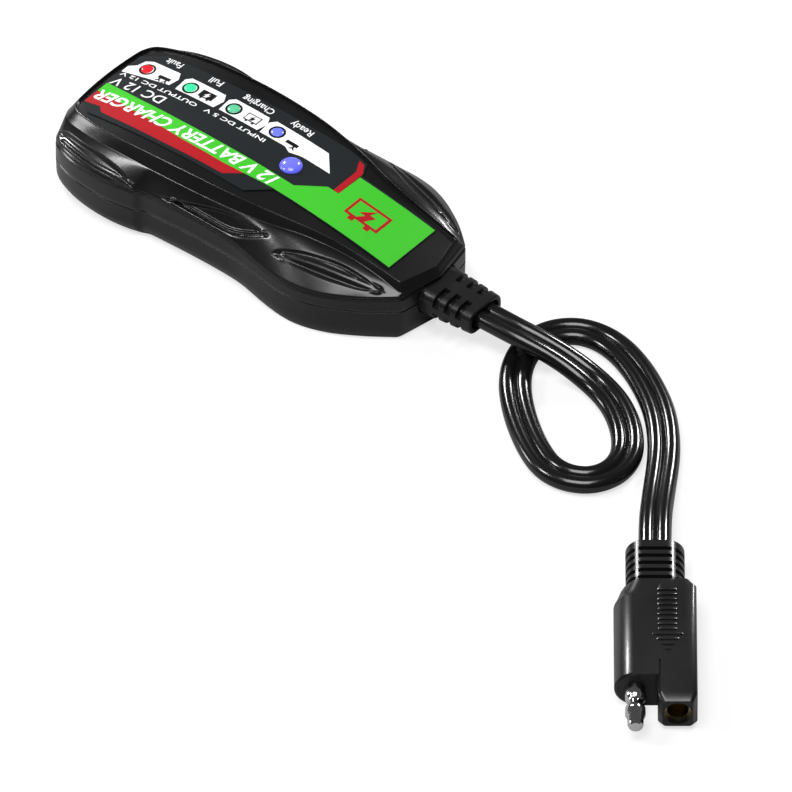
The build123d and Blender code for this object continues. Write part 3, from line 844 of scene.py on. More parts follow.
@dataclass
class Carving:
    """A sunk figure on the shoulder: along the housing and up the slope."""

    outline: Plan
    depth: float = 0.6
    lip: float = 0.3

    def sink(self, x: np.ndarray, u: np.ndarray) -> np.ndarray:
        """How far each point is pressed in.

        Args:
            x: Places along the housing.
            u: Places up the slope.

        Returns:
            Depth at each point.
        """
        ring = np.array([*self.outline, self.outline[0]], float)
        here, nxt = ring[:-1], ring[1:]
        rise = nxt[:, 1] - here[:, 1]
        share = (u[:, None] - here[None, :, 1]) / np.where(rise == 0, 1e-12, rise)
        cross = here[None, :, 0] + share * (nxt - here)[None, :, 0]
        hits = ((here[None, :, 1] > u[:, None]) != (nxt[None, :, 1] > u[:, None])) & (x[:, None] < cross)
        inside = hits.sum(1) % 2 == 1
        return np.where(inside, self.depth * smoothstep(line_distance(x, u, ring), 0.0, self.lip), 0.0)


@dataclass
class Ridge:
    """A raised line on the shoulder, or a groove where its height is negative."""

    line: Plan
    height: float = 0.3
    width: float = 0.5
    shift: float = 0.0

    def sink(self, x: np.ndarray, u: np.ndarray) -> np.ndarray:
        """How far each point is pressed in: below zero on a ridge."""
        curve = spline_through([(a, b + self.shift) for a, b in self.line], 6)
        return -self.height * (1 - smoothstep(line_distance(x, u, curve), self.width * 0.2, self.width))


def smooth_ring(top: Plan, foot: Plan) -> Plan:
    """A closed outline from its upper and lower lines, each one smooth."""
    lines = [spline_through(line, 6) for line in (top, foot)]
    return [tuple(point) for line in lines for point in line[:-1]]


LEAF_TOP = [(-49.5, -2.6), (-46.3, -1.72), (-39.6, -2.02), (-32.9, -2.36), (-26.2, -3.56), (-21.6, -5.9)]
LEAF_FOOT = [(-22.4, -6.0), (-27.7, -5.84), (-33.7, -5.84), (-40.7, -5.10), (-46.0, -4.4)]
INTAKE_TOP = [(-16.4, -4.7), (-8.3, -2.74), (2.3, -0.25), (9.0, -0.06), (15.4, -0.5)]
INTAKE_FOOT = [(15.4, -0.5), (10.9, -3.0), (5.6, -4.8), (-3.2, -4.95), (-10.6, -4.9), (-16.4, -4.8)]
INTAKE_SIDE = [(13.4, -1.2), (9.4, -3.1), (4.6, -4.5), (-3.6, -4.6), (-12.0, -4.5)]
ALMOND_TOP = [
    (17.3, -3.83), (19.1, -2.21), (23.3, -0.29), (27.8, 0.81), (32.6, 1.52), (37.9, 1.43), (45.2, 0.30)
]  # fmt: skip
ALMOND_AXIS = [(20.5, -2.9), (28.0, -1.3), (36.0, -0.5), (43.0, 0.1)]
ALMOND_FOOT = [(45.2, 0.30), (39.9, -1.75), (35.4, -2.63), (30.7, -3.33), (25.5, -3.66), (17.3, -3.83)]


@dataclass
class Housing:
    """The two shells, as rows of points round the plan from the underside to the label recess."""

    nose_point: float = 2.3
    tail_bulge: float = 0.9
    split_z: float = 8.4
    wall: float = 1.8
    recess: float = 0.8
    counts: tuple[int, int, int] = (24, 400, 24)
    body_side: list = field(default_factory=lambda: [
        (-50.2, 15.3), (-47.5, 20.0), (-42.0, 22.8), (-36.0, 24.1), (-29.0, 24.4), (-22.4, 23.4),
        (-21.2, 23.1), (-20.6, 22.3), (-13.0, 21.7), (-6.0, 21.5), (2.0, 21.5), (8.0, 21.8), (12.5, 22.5),
        (17.0, 23.2), (21.0, 23.6), (25.0, 23.6), (29.5, 22.9), (34.0, 21.3), (38.5, 18.9), (42.5, 16.3),
        (48.2, 11.6)])  # fmt: skip
    base_side: list = field(default_factory=lambda: [
        (-48.3, 13.4), (-45.6, 16.9), (-35.5, 19.9), (-28.5, 20.3), (-22.0, 19.6), (-20.2, 18.9),
        (-6.0, 18.2), (7.0, 18.8), (17.0, 21.6), (25.0, 22.4), (33.0, 20.2), (41.0, 15.4),
        (46.8, 11.2)])  # fmt: skip
    console_side: list = field(default_factory=lambda: [
        (-49.9, 12.8), (-48.0, 15.8), (-37.0, 18.7), (-28.0, 19.3), (-18.0, 19.3), (-5.0, 18.8),
        (6.0, 17.7), (14.0, 16.3), (22.0, 14.0), (29.0, 12.5), (38.0, 11.7), (47.9, 11.2)])  # fmt: skip
    rim_side: list = field(default_factory=lambda: [
        (-48.1, 11.2), (-46.4, 13.9), (-39.5, 16.1), (-31.6, 17.1), (-23.0, 17.3), (-14.0, 17.3),
        (-5.0, 16.9), (4.4, 16.1), (18.0, 13.6), (25.0, 12.1), (34.0, 10.9), (46.6, 10.0)])  # fmt: skip
    shoulder_z: list = field(default_factory=lambda: [
        (-50.5, 12.6), (-46.0, 13.6), (-35.0, 14.4), (-24.0, 14.6), (-20.0, 14.4), (-8.0, 14.4),
        (4.0, 14.0), (12.0, 13.0), (20.0, 12.5), (30.0, 12.4), (40.0, 12.6), (50.5, 13.0)])  # fmt: skip
    console_z: list = field(default_factory=lambda: [
        (-50.5, 16.2), (-44.0, 17.4), (-36.0, 18.4), (-28.0, 19.0), (14.0, 19.0), (20.0, 18.8),
        (26.5, 18.0), (36.0, 16.8), (42.5, 15.2), (47.0, 13.7), (50.5, 13.4)])  # fmt: skip

    def chain(self, side: Plan, point: float, bulge: float) -> np.ndarray:
        """Half plan at one level, from the tail's middle along the near side to the nose's middle.

        Args:
            side: Half widths (x, w) from tail to nose.
            point: How far the nose's middle stands ahead of its corners.
            bulge: How far the tail's middle stands behind its corners.

        Returns:
            Points (x, y), y at or below zero.
        """
        curve = spline_through(side)
        (x0, w0), (x1, w1) = side[0], side[-1]
        ys = np.linspace(0, w0, 30)
        tail = np.column_stack([x0 - bulge * (1 - (ys / w0) ** 2), ys])
        nose = np.array([(x1, w1), (x1 + point, 0.0)])
        parts = [resample(line, count) for line, count in zip((tail, curve, nose), self.counts)]
        line = np.vstack([parts[0][:-1], parts[1][:-1], parts[2]])
        for _ in range(5):
            line[1:-1] = line[1:-1] * 0.5 + (line[:-2] + line[2:]) * 0.25
        return np.column_stack([line[:, 0], -line[:, 1]])

    def row(self, plan: np.ndarray, z: np.ndarray | float) -> np.ndarray:
        """A row of points from a plan and its heights."""
        return np.column_stack([plan, np.broadcast_to(z, len(plan))])

    def inward(self, plan: np.ndarray, amount: np.ndarray | float) -> np.ndarray:
        """A plan moved in, square to its own line."""
        step = np.gradient(plan, axis=0)
        step /= np.linalg.norm(step, axis=1, keepdims=True) + 1e-9
        normal = np.column_stack([-step[:, 1], step[:, 0]])
        moved = plan + normal * np.broadcast_to(amount, len(plan))[:, None]
        moved[[0, -1], 1] = 0.0
        moved[:, 1] = np.minimum(moved[:, 1], 0.0)
        return moved

    def plans(self) -> dict[str, np.ndarray]:
        """The four half plans."""
        return {
            "base": self.chain(self.base_side, self.nose_point, self.tail_bulge * 0.6),
            "body": self.chain(self.body_side, self.nose_point, self.tail_bulge * 0.3),
            "console": self.chain(self.console_side, self.nose_point, self.tail_bulge * 0.6),
            "rim": self.chain(self.rim_side, self.nose_point, self.tail_bulge),
        }

    def heights(self, table: Plan, x: np.ndarray) -> np.ndarray:
        """A height table read smoothly at each x."""
        curve = spline_through(table)
        return np.interp(x, curve[:, 0], curve[:, 1])

    def upper_rows(self) -> tuple[Rows, tuple[int, int]]:
        """Outer rows of the upper shell and the span of rows that is the shoulder."""
        plan = self.plans()
        body, console, rim = plan["body"], plan["console"], plan["rim"]
        lip_z = self.heights(self.shoulder_z, body[:, 0])
        line_z = self.heights(self.console_z, console[:, 0])
        roof_z = CROWN.z(rim[:, 0])
        bulge = 1.12 + 0.45 * smoothstep(body[:, 0], 5, 18) * (1 - smoothstep(body[:, 0], 40, 47))
        rows = [self.row(self.inward(body, 0.22), self.split_z + 0.02), self.row(body, self.split_z + 0.24)]
        rows += fill_rows(rows[-1], self.row(body, lip_z - 1.15), 5)
        rows += round_rows(
            [
                rows[-1],
                self.row(body, lip_z - 1.15),
                self.row(self.inward(body, 0.42), lip_z - 0.75),
                self.row(self.inward(body, 0.38), lip_z - 0.5),
                self.row(body, lip_z - 0.15),
                self.row(self.inward(body, 0.25), lip_z + 0.25),
            ],
            [0, 0.15, 0.1, 0.1, 0.3, 0],
            3,
        )[1:]
        first = len(rows) - 1
        start = rows[-1]
        count = 46
        for i in range(1, count + 1):
            q = i / count
            flat = start[:, :2] * (1 - q) + console * q
            rise = 1 - (1 - q) ** bulge
            rows.append(self.row(flat, start[:, 2] * (1 - rise) + line_z * rise))
        last = len(rows) - 1
        band = line_z + (roof_z - line_z) * 0.60
        top = [
            rows[-1],
            self.row(self.inward(console, 0.15), line_z + 0.12),
            self.row(console * 0.45 + rim * 0.55, band),
            self.row(console * 0.12 + rim * 0.88, roof_z - 0.12),
            self.row(rim, roof_z),
            self.row(self.inward(rim, 0.22), CROWN.z(rim[:, 0], self.recess)),
        ]
        dense = round_rows(top, [0, 0.1, 0.22, 0.2, 0.12, 0], 4)
        rows += dense[1:]
        return rows, (first, last)

    def mirror_ring(self, half: np.ndarray) -> np.ndarray:
        """The whole ring of a row: near side to the nose, far side back."""
        far = half[-2:0:-1] * np.array([1, -1, 1.0])
        return np.vstack([half, far])

    def cap(
        self, ring_first: int, half: np.ndarray, columns: int, drop: float | None, first: int
    ) -> tuple[np.ndarray, list]:
        """Fills a ring across from the near side to the far side.

        Args:
            ring_first: Index of the ring's first vertex.
            half: The ring's near half.
            columns: Spans across.
            drop: Depth below the crown, or None for a level cap.
            first: Index of the first vertex that the cap adds.

        Returns:
            New vertices and faces.
        """
        last = len(half) - 1
        share = 1 - 2 * np.arange(1, columns) / columns
        inner = half[1:last]
        x = np.repeat(inner[:, 0], columns - 1)
        y = (inner[:, 1:2] * share[None]).ravel()
        z = np.repeat(inner[:, 2], columns - 1) if drop is None else CROWN.z(x, drop)
        total = 2 * last

        def at(j: int, k: int) -> int:
            """The vertex at a place along and across."""
            if j in (0, last):
                return ring_first + j
            if k == 0:
                return ring_first + j
            if k == columns:
                return ring_first + total - j
            return first + (j - 1) * (columns - 1) + k - 1

        faces = []
        for j in range(last):
            for k in range(columns):
                corner = [at(j, k), at(j, k + 1), at(j + 1, k + 1), at(j + 1, k)]
                faces.append(tuple(dict.fromkeys(corner)))
        return np.column_stack([x, y, z]), [f for f in faces if len(f) > 2]

    def press(self, rows: Rows, span: tuple[int, int], carvings: list[Carving | Ridge]) -> Rows:
        """Sinks the carvings into the shoulder, along its own normals."""
        low, high = span
        grid = np.stack(rows[low - 2 : high + 3])
        along = np.gradient(grid, axis=1)
        up = np.gradient(grid, axis=0)
        normal = np.cross(up, along)
        normal /= np.linalg.norm(normal, axis=-1, keepdims=True) + 1e-12
        outward = normal[..., 2] < 0
        normal[outward] *= -1
        flat = grid.reshape(-1, 3)
        depth = np.zeros(len(flat))
        for carving in carvings:
            depth += carving.sink(flat[:, 0], (flat[:, 2] + flat[:, 1]) / math.sqrt(2))
        depth = depth.reshape(grid.shape[:2])
        for _ in range(2):
            depth[1:-1] = depth[1:-1] * 0.5 + (depth[:-2] + depth[2:]) * 0.25
            depth[:, 1:-1] = depth[:, 1:-1] * 0.5 + (depth[:, :-2] + depth[:, 2:]) * 0.25
        fade = np.ones(len(grid))
        fade[:2] = fade[-2:] = 0
        grid = grid - normal * (depth * fade[:, None])[..., None]
        grid[:, [0, -1], 1] = 0.0
        return [*rows[: low - 2], *grid, *rows[high + 3 :]]

    def shell(self, name: str, outer: Rows, inner: Rows, drops: tuple, finish: Finish) -> bpy.types.Object:
        """A closed shell from its outer and inner rows.

        Args:
            name: Name of the piece.
            outer: Outer rows, from the joint face to the cap.
            inner: Inner rows, from the cap to the joint face.
            drops: Depth below the crown of the outer and inner cap, or None for level.
            finish: Its finish.

        Returns:
            The shell.
        """
        rows = [*reversed(inner), *outer]
        rings = [self.mirror_ring(row) for row in rows]
        count = len(rings[0])
        verts = [np.vstack(rings)]
        faces = grid_quads(len(rings), count)
        total = len(rings) * count
        for index, half, drop in ((0, rows[0], drops[1]), (len(rings) - 1, rows[-1], drops[0])):
            extra, more = self.cap(index * count, half, 16, drop, total)
            verts.append(extra)
            faces += more
            total += len(extra)
        return make_object(name, np.vstack(verts), faces, [finish.build()])

    def carvings(self) -> list[Carving | Ridge]:
        """The leaf, the air intake and the almond on each side."""
        leaf = [Carving(smooth_ring(LEAF_TOP, LEAF_FOOT), 0.7, 0.9), Ridge(LEAF_FOOT, 0.25, 0.5, -0.1)]
        leaf.append(Ridge(LEAF_FOOT, 0.22, 0.45, 1.0))
        intake = [Carving(smooth_ring(INTAKE_TOP, INTAKE_FOOT), 1.0, 0.8)]
        intake += [Ridge(INTAKE_SIDE, 0.45, 0.36, shift) for shift in (0.1, 0.9)]
        almond = [Carving(smooth_ring(ALMOND_TOP, ALMOND_FOOT), 0.65, 0.45)]
        almond.append(Ridge(ALMOND_TOP[1:-1], 0.35, 0.36, -0.85))
        almond.append(Ridge(ALMOND_AXIS, 0.55, 1.3))
        return [*leaf, *intake, *almond]

    def build_upper(self) -> bpy.types.Object:
        """The upper shell with its lens, button, lead and inlet openings."""
        rows, span = self.upper_rows()
        rows = self.press(rows, span, self.carvings())
        plan = self.plans()
        body, console, rim = (self.inward(plan[k], self.wall) for k in ("body", "console", "rim"))
        lip_z = self.heights(self.shoulder_z, body[:, 0]) - 1.6
        line_z = self.heights(self.console_z, console[:, 0]) - 1.4
        inner = [
            self.row(body, self.split_z + 0.02),
            self.row(body, lip_z),
            self.row(console, line_z),
            self.row(rim, CROWN.z(rim[:, 0], self.recess + self.wall)),
        ]
        shell = self.shell("upper_shell_skin", rows, inner, (self.recess, self.recess + self.wall), HOUSING)
        combine(shell, self.openings(True), "DIFFERENCE")
        tidy_mesh(shell.data, 55.0)
        return settle(shell, "root", "housing", "upper_shell")

    def lower_rows(self) -> Rows:
        """Outer rows of the lower shell, from the joint face down to the underside."""
        plan = self.plans()
        base, body = plan["base"], plan["body"]
        rows = [self.row(self.inward(body, 0.22), self.split_z - 0.02), self.row(body, self.split_z - 0.24)]
        rows += fill_rows(rows[-1], self.row(self.inward(body, 0.1), 4.6), 4)
        for angle in np.radians(np.linspace(0, 90, 10)):
            share = 1 - math.cos(angle)
            flat = self.inward(body, 0.1) * (1 - share) + base * share
            rows.append(self.row(flat, 4.6 * (1 - math.sin(angle))))
        rows.append(self.row(self.inward(base, 1.2), 0.0))
        return rows

    def build_lower(self) -> bpy.types.Object:
        """The lower shell with its screw pockets and openings."""
        plan = self.plans()
        body, base = self.inward(plan["body"], self.wall), self.inward(plan["base"], self.wall)
        inner = [self.row(body, self.split_z - 0.02), self.row(body, 4.8), self.row(base, self.wall)]
        shell = self.shell("lower_shell_skin", self.lower_rows(), inner, (None, None), HOUSING)
        combine(shell, self.openings(False), "DIFFERENCE")
        tidy_mesh(shell.data)
        return settle(shell, "root", "housing", "lower_shell")

    def passage(self, start: float, end: float, z: float, size: Triple) -> bpy.types.Object:
        """A rounded bar along X, used as a tool."""
        rings = bar_rings([start, end], 0.0, [size, size])
        return tube_along("tool", [ring + np.array([0, 0, z]) for ring in rings], [])

    def openings(self, upper: bool) -> list[bpy.types.Object]:
        """Tools for the holes of one shell: the lead, the inlet's recess and mouth, and its own posts."""
        tools = [
            self.passage(42.0, 60.0, LEAD_Z, (13.5, 7.7, 2.6)),
            self.passage(-53.0, -49.5, INLET_Z, (13.0, 6.6, 2.5)),
            self.passage(-51.0, -46.0, INLET_Z, (9.34, 3.66, 1.8)),
        ]
        if upper:
            tools += [post(x, LENS_Y, 12, 26, LENS_HOLE) for x in StatusLights().places()]
            tools.append(post(*BUTTON_SPOT, 12, 26, BUTTON_HOLE))
        else:
            tools += [post(x, y, -1, 3.0, 5.2) for x, y in SCREW_SPOTS]
            tools += [post(x, y, -1, 8.0, 3.0) for x, y in SCREW_SPOTS]
        return tools


# ------------------------------------------------------------------------------------------
# Label, lights and button
# ------------------------------------------------------------------------------------------


@dataclass
class Label:
    """Printed film in the recess, with its inks laid as thin raised films."""

    drop: float = LABEL_DROP
    thickness: float = 0.3
    ink: float = 0.025
    root: float = 0.05
    strip: float = 4.0
    ring_radii: tuple[float, float] = (1.52, 2.02)
    sheet_outline: list = field(default_factory=lambda: [
        (-47.2, -9.8), (-43.6, -13.2), (3.0, -13.4), (7.9, -8.5), (42.0, -8.5), (42.0, 8.4),
        (19.8, 8.8), (18.2, 12.6), (14.0, 13.3), (-42.0, 13.3), (-47.2, 9.8)])  # fmt: skip

    def films(self) -> list[tuple[Finish, int, Plan]]:
        """Each coloured area: its finish, its layer and its plan."""
        edge = [(-47.1, -5.4), (-32.3, -7.3), (-19.4, -8.7), (-6.6, -9.2), (-0.5, -8.9)]
        far = [(-47.1, -2.0), (-35.9, -3.0), (-23.5, -3.7), (-11.4, -4.1), (10.4, -4.4), (16.4, 0.7)]
        green = [*edge, (7.2, -8.3), (41.8, -8.3), (41.8, 8.2), (19.7, 8.2), (19.5, 0.7), *far[::-1]]
        red = [*edge, (-4.4, -12.2), (-22.6, -12.2), (-40.9, -11.6), (-42.6, -9.9), (-47.1, -10.2)]
        bracket = [
            (16.2, 12.3), (17.9, 11.9), (19.5, 9.4), (19.5, 0.8), (17.9, 0.8), (17.9, 8.9), (16.9, 10.8)
        ]  # fmt: skip
        areas = [(GREEN_INK, 1, green), (RED_INK, 1, red), (RED_INK, 1, bracket)]
        first = [
            (-47.2, 3.2), (-47.2, 5.6), (-45.4, 6.9), (-44.8, 9.0), (-43.0, 9.9), (-34.9, 9.7), (-33.8, 7.6),
            (-34.4, 4.9),
        ]  # fmt: skip
        areas.append((WHITE_INK, 1, first))
        for x in (-20.4, -7.4):
            shape = [(-11.9, 4.6), (-12.2, 8.6), (-11.0, 9.8), (-0.8, 9.5), (0.3, 7.4), (-0.4, 4.4)]
            areas.append((WHITE_INK, 1, [(x + a, b) for a, b in shape]))
        nose = [
            (-6.9, 4.3), (-7.2, 8.2), (-6.0, 9.6), (9.6, 9.2), (14.0, 4.2), (6.4, 4.2), (5.0, 4.0),
            (2.6, 3.3), (0.6, 4.3),
        ]  # fmt: skip
        areas.append((WHITE_INK, 1, nose))
        return areas

    def icons(self) -> list[tuple[Finish, int, Plan]]:
        """Small pictograms: clips or a battery beside each lens, and a battery with a bolt on the nose."""
        found = []

        def add(finish: Finish, layer: int, x: float, y: float, size: float, plan: Plan) -> None:
            """Adds a figure at a place; it reads from nose to tail."""
            found.append((finish, layer, [(x - a * size, y - b * size) for a, b in plan]))

        cell = [
            (-0.8, -0.5), (0.8, -0.5), (0.8, 0.5), (0.5, 0.5), (0.5, 0.68), (0.25, 0.68), (0.25, 0.5),
            (-0.25, 0.5), (-0.25, 0.68), (-0.5, 0.68), (-0.5, 0.5), (-0.8, 0.5),
        ]  # fmt: skip
        bolt = [
            (-0.1, 0.42), (-0.36, -0.06), (-0.06, -0.06), (-0.2, -0.42), (0.36, 0.12), (0.06, 0.12),
            (0.3, 0.42),
        ]  # fmt: skip
        inner = [(-0.68, -0.38), (0.68, -0.38), (0.68, 0.38), (-0.68, 0.38)]
        clip = [
            (-0.16, -0.1), (0.16, -0.1), (0.2, 0.5), (0.62, 0.9), (0.42, 1.05), (0.0, 0.72), (-0.42, 1.05),
            (-0.62, 0.9), (-0.2, 0.5),
        ]  # fmt: skip
        cable = [(-0.9, -0.2), (0.9, -0.2), (0.9, 0.35), (-0.9, 0.35)]
        for index, x in enumerate((-36.9, -24.6, -11.0, 1.4)):
            middle = 7.0 - 0.1 * index
            if index in (0, 3):
                add(BLACK_INK, 2, x, middle - 0.6, 1.9, cable)
                add(BLACK_INK, 2, x + 0.9, middle - 1.1, 1.25, clip)
                if index == 0:
                    add(BLACK_INK, 2, x - 0.9, middle - 1.1, 1.25, clip)
                continue
            add(BLACK_INK, 2, x, middle, 2.5, cell)
            if index == 2:
                add(WHITE_INK, 3, x, middle, 2.5, inner)
            add(BLACK_INK if index == 2 else WHITE_INK, 4, x, middle, 2.1, bolt)
        add(RED_INK, 2, 28.6, 0.3, 6.0, cell)
        add(GREEN_INK, 3, 28.6, 0.3, 6.0, inner)
        add(RED_INK, 4, 28.6, 0.3, 5.6, bolt)
        return found

    def lettering(self) -> list[tuple[Finish, int, bmesh.types.BMesh]]:
        """The generic words, which read from nose to tail."""
        return [
            (WHITE_INK, 3, self.words("12 V BATTERY CHARGER", (-46.3, -8.3, 6.6, -4.6), 0.28, 0.022)),
            (WHITE_INK, 2, self.words("DC 12 V", (-46.8, -1.9, -31.5, 0.9), 0.1, 0.006)),
            (WHITE_INK, 2, self.words("INPUT DC 5 V   OUTPUT DC 12 V", (-46.8, 2.0, -4.0, 3.2), 0.0, 0.012)),
            (WHITE_INK, 2, self.words("Fault", (-40.9, 11.0, -36.4, 12.9), 0.0, 0.006)),
            (WHITE_INK, 2, self.words("Full", (-27.9, 11.0, -24.4, 12.9), 0.0, 0.006)),
            (WHITE_INK, 2, self.words("Charging", (-17.6, 10.4, -8.6, 12.9), 0.0, 0.006)),
            (WHITE_INK, 2, self.words("Ready", (-3.4, 10.4, 2.9, 12.9), 0.0, 0.006)),
        ]

    def rings(self) -> list[bmesh.types.BMesh]:
        """A dark ring round each lens."""
        found, sides = [], 48
        for x in StatusLights().places():
            shape = bmesh.new()
            turn = np.linspace(0, 2 * math.pi, sides, endpoint=False)
            inner, outer = (
                [shape.verts.new((x + r * math.cos(a), LENS_Y + r * math.sin(a), 0)) for a in turn]
                for r in self.ring_radii
            )
            for i in range(sides):
                shape.faces.new((inner[i], outer[i], outer[(i + 1) % sides], inner[(i + 1) % sides]))
            found.append(shape)
        return found

    def lay(
        self, shape: bmesh.types.BMesh, base: float, height: float, slot: int, into: bmesh.types.BMesh
    ) -> None:
        """Lays a flat shape on the crown as a thin solid.

        Args:
            shape: Flat faces in millimetres, used up.
            base: Height of its underside above the sheet's top.
            height: Its thickness.
            slot: Material index.
            into: The mesh that it joins.
        """
        bmesh.ops.remove_doubles(shape, verts=shape.verts, dist=1e-4)
        xs = [v.co.x for v in shape.verts]
        for x in np.arange(self.strip * math.ceil(min(xs) / self.strip), max(xs), self.strip):
            every = [*shape.verts, *shape.edges, *shape.faces]
            bmesh.ops.bisect_plane(shape, geom=every, plane_co=(float(x), 0, 0), plane_no=(1, 0, 0))
        bmesh.ops.triangulate(shape, faces=shape.faces)
        grown = bmesh.ops.extrude_face_region(shape, geom=list(shape.faces))
        raised = {v for v in grown["geom"] if isinstance(v, bmesh.types.BMVert)}
        for vert in shape.verts:
            lift = base + (height if vert in raised else 0.0)
            vert.co.z = float(CROWN.z(vert.co.x, self.drop)) + lift
        bmesh.ops.recalc_face_normals(shape, faces=shape.faces)
        offset = len(into.verts)
        for vert in shape.verts:
            into.verts.new(vert.co * MM)
        into.verts.ensure_lookup_table()
        shape.verts.index_update()
        for face in shape.faces:
            made = into.faces.new([into.verts[offset + v.index] for v in face.verts])
            made.material_index = slot
        shape.free()

    def polygon(self, points: Plan) -> bmesh.types.BMesh:
        """A flat shape from its plan."""
        shape = bmesh.new()
        shape.faces.new([shape.verts.new((x, y, 0)) for x, y in points])
        return shape

    def words(
        self, text: str, box: tuple[float, float, float, float], slant: float, weight: float
    ) -> bmesh.types.BMesh:
        """Flat lettering fitted to a box; it reads from nose to tail.

        Args:
            text: The words.
            box: Low x, low y, high x and high y.
            slant: Lean of the letters.
            weight: How much heavier than the plain face.

        Returns:
            The flat shape.
        """
        data = bpy.data.curves.new("words", "FONT")
        data.body, data.shear, data.offset = text, slant, weight
        data.resolution_u = 3
        holder = bpy.data.objects.new("words", data)
        bpy.context.scene.collection.objects.link(holder)
        mesh = bpy.data.meshes.new_from_object(holder)
        bpy.data.objects.remove(holder)
        bpy.data.curves.remove(data)
        shape = bmesh.new()
        shape.from_mesh(mesh)
        bpy.data.meshes.remove(mesh)
        co = np.array([v.co for v in shape.verts])
        low, high = co.min(0), co.max(0)
        for vert in shape.verts:
            u = (vert.co.x - low[0]) / (high[0] - low[0])
            v = (vert.co.y - low[1]) / (high[1] - low[1])
            vert.co = (box[2] - u * (box[2] - box[0]), box[3] - v * (box[3] - box[1]), 0)
        return shape

    def build(self) -> bpy.types.Object:
        """The label with all its inks."""
        work = bmesh.new()
        finishes = [FILM, BLACK_INK, GREEN_INK, RED_INK, WHITE_INK]
        order = {finish.name: i for i, finish in enumerate(finishes)}
        self.lay(self.polygon(self.sheet_outline), -self.thickness, self.thickness, 0, work)
        flats = [*self.films(), *self.icons()]
        shapes = [(finish, layer, self.polygon(plan)) for finish, layer, plan in flats]
        shapes += [*self.lettering(), *[(BLACK_INK, 3, ring) for ring in self.rings()]]
        for finish, layer, shape in shapes:
            self.lay(shape, -self.root, self.root + self.ink * layer, order[finish.name], work)
        mesh = bpy.data.meshes.new("label_print")
        work.to_mesh(mesh)
        work.free()
        for finish in finishes:
            mesh.materials.append(finish.build())
        label = bpy.data.objects.new("label_print", mesh)
        bpy.context.scene.collection.objects.link(label)
        return settle(label, "root", "label", "label_sheet")


@dataclass
class StatusLights:
    """Four domed lenses with their collars, and the finishes that tell them apart."""

    front_x: float = -3.7
    pitch: float = 12.9
    y: float = LENS_Y
    radius: float = 1.5
    bulge: float = 0.32
    collar: float = 0.8
    foot_z: float = 10.6
    finishes: tuple[tuple[str, Finish, str], ...] = (
        ("ready", LENS_BLUE, "lens_blue"),
        ("charging", LENS_DULL, "lens_green"),
        ("full", LENS_MINT, "lens_green"),
        ("fault", LENS_RED, "lens_red"),
    )

    def places(self) -> list[float]:
        """The lenses' X from the button back to the tail."""
        return [self.front_x - self.pitch * i for i in range(len(self.finishes))]

    def build(self) -> None:
        """One piece for each lens."""
        r = self.radius
        for x, (name, finish, slot) in zip(self.places(), self.finishes):
            top, under = float(CROWN.z(x, LABEL_DROP)) + 0.02, float(CROWN.z(x, SHELL_DEPTH))
            angles, wide = np.radians(np.linspace(0, 86, 8)), r + self.collar
            dome = [(r * math.cos(a), top + self.bulge * math.sin(a)) for a in angles]
            stem = [(r - 0.2, self.foot_z), (r, self.foot_z + 0.2), (r, under - 1.6), (wide, under - 1.55)]
            stem += [(wide, under - 0.65), (r, under - 0.6)]
            place = Matrix.Translation((x, self.y, 0))
            lens = lathe(f"lens_{name}_clear", [*stem, *dome], finish.build(), place, 48)
            settle(lens, "root", slot, f"lens_{name}")


@dataclass
class PushButton:
    """The domed cap, with its stem and flange."""

    x: float = BUTTON_SPOT[0]
    y: float = BUTTON_SPOT[1]
    radius: float = 2.7
    dome: float = 1.2
    flange: float = 1.6
    foot_z: float = 14.0

    def build(self) -> bpy.types.Object:
        """The cap."""
        top = float(CROWN.z(self.x, LABEL_DROP)) - 0.12
        flange = float(CROWN.z(self.x + 2 * self.radius, SHELL_DEPTH)) - 0.15
        r, wide = self.radius, self.radius + self.flange
        profile = [(r - 0.25, self.foot_z), (r, self.foot_z + 0.25), (r, flange - 1.0), (wide, flange - 0.97)]
        profile += [(wide, flange - 0.03), (r, flange), (r, top)]
        rise, angles = self.dome + 0.12, np.radians(np.linspace(6, 88, 14))
        profile += [(r * math.cos(a), top + rise * math.sin(a)) for a in angles]
        # The cap's finish carries a painted glow: emission on a button that has no lamp in it.
        cap = lathe("button_dome", profile, DOME_BLUE_PAINTED_GLOW.build(), Matrix.Translation((self.x, self.y, 0)), 72)
        return settle(cap, "button", "button", "button_cap")


@dataclass
class Relief:
    """The slotted strain relief between the nose and the lead."""

    start_x: float = 44.0
    taper_x: float = 51.5
    end_x: float = 63.4
    z: float = LEAD_Z
    neck: Triple = (13.2, 7.4, 2.7)
    end: Triple = (11.6, 6.2, 2.5)
    flange: Triple = (16.4, 9.2, 2.0)
    slots: Slots = Slots((53.9, 57.05, 60.2), 1.5, 1.15)

    def size_at(self, x: float) -> Triple:
        """Width, height and corner radius at x."""
        t = float(np.clip((x - self.taper_x) / (self.end_x - self.taper_x), 0, 1))
        return tuple(a + (b - a) * t for a, b in zip(self.neck, self.end))

    def build(self) -> bpy.types.Object:
        """The strain relief."""
        ends = [self.taper_x, self.end_x - 0.25]
        body = self.slots.rings(ends, self.size_at, lambda y, z: (y < 1.7) | (z < 0.9))
        inner = self.start_x + 1.8
        head = bar_rings([self.start_x, inner, inner + 0.05], 0, [self.flange, self.flange, self.neck], 192)
        width, height, radius = self.end
        lip = [(width - 0.4, height - 0.4, radius)]
        lip += [(width - 2.0, height - 1.5, 2.0), (width - 2.2, height - 1.7, 1.9)]
        tail = bar_rings([self.end_x, self.end_x, self.end_x - 1.1], 0, lip, 192)
        rings = [ring + np.array([0, 0, self.z]) for ring in [*head, *body, *tail]]
        piece = tube_along("strain_relief_sleeve", rings, [PVC.build()])
        return settle(piece, "root", "moulded_pvc", "strain_relief")


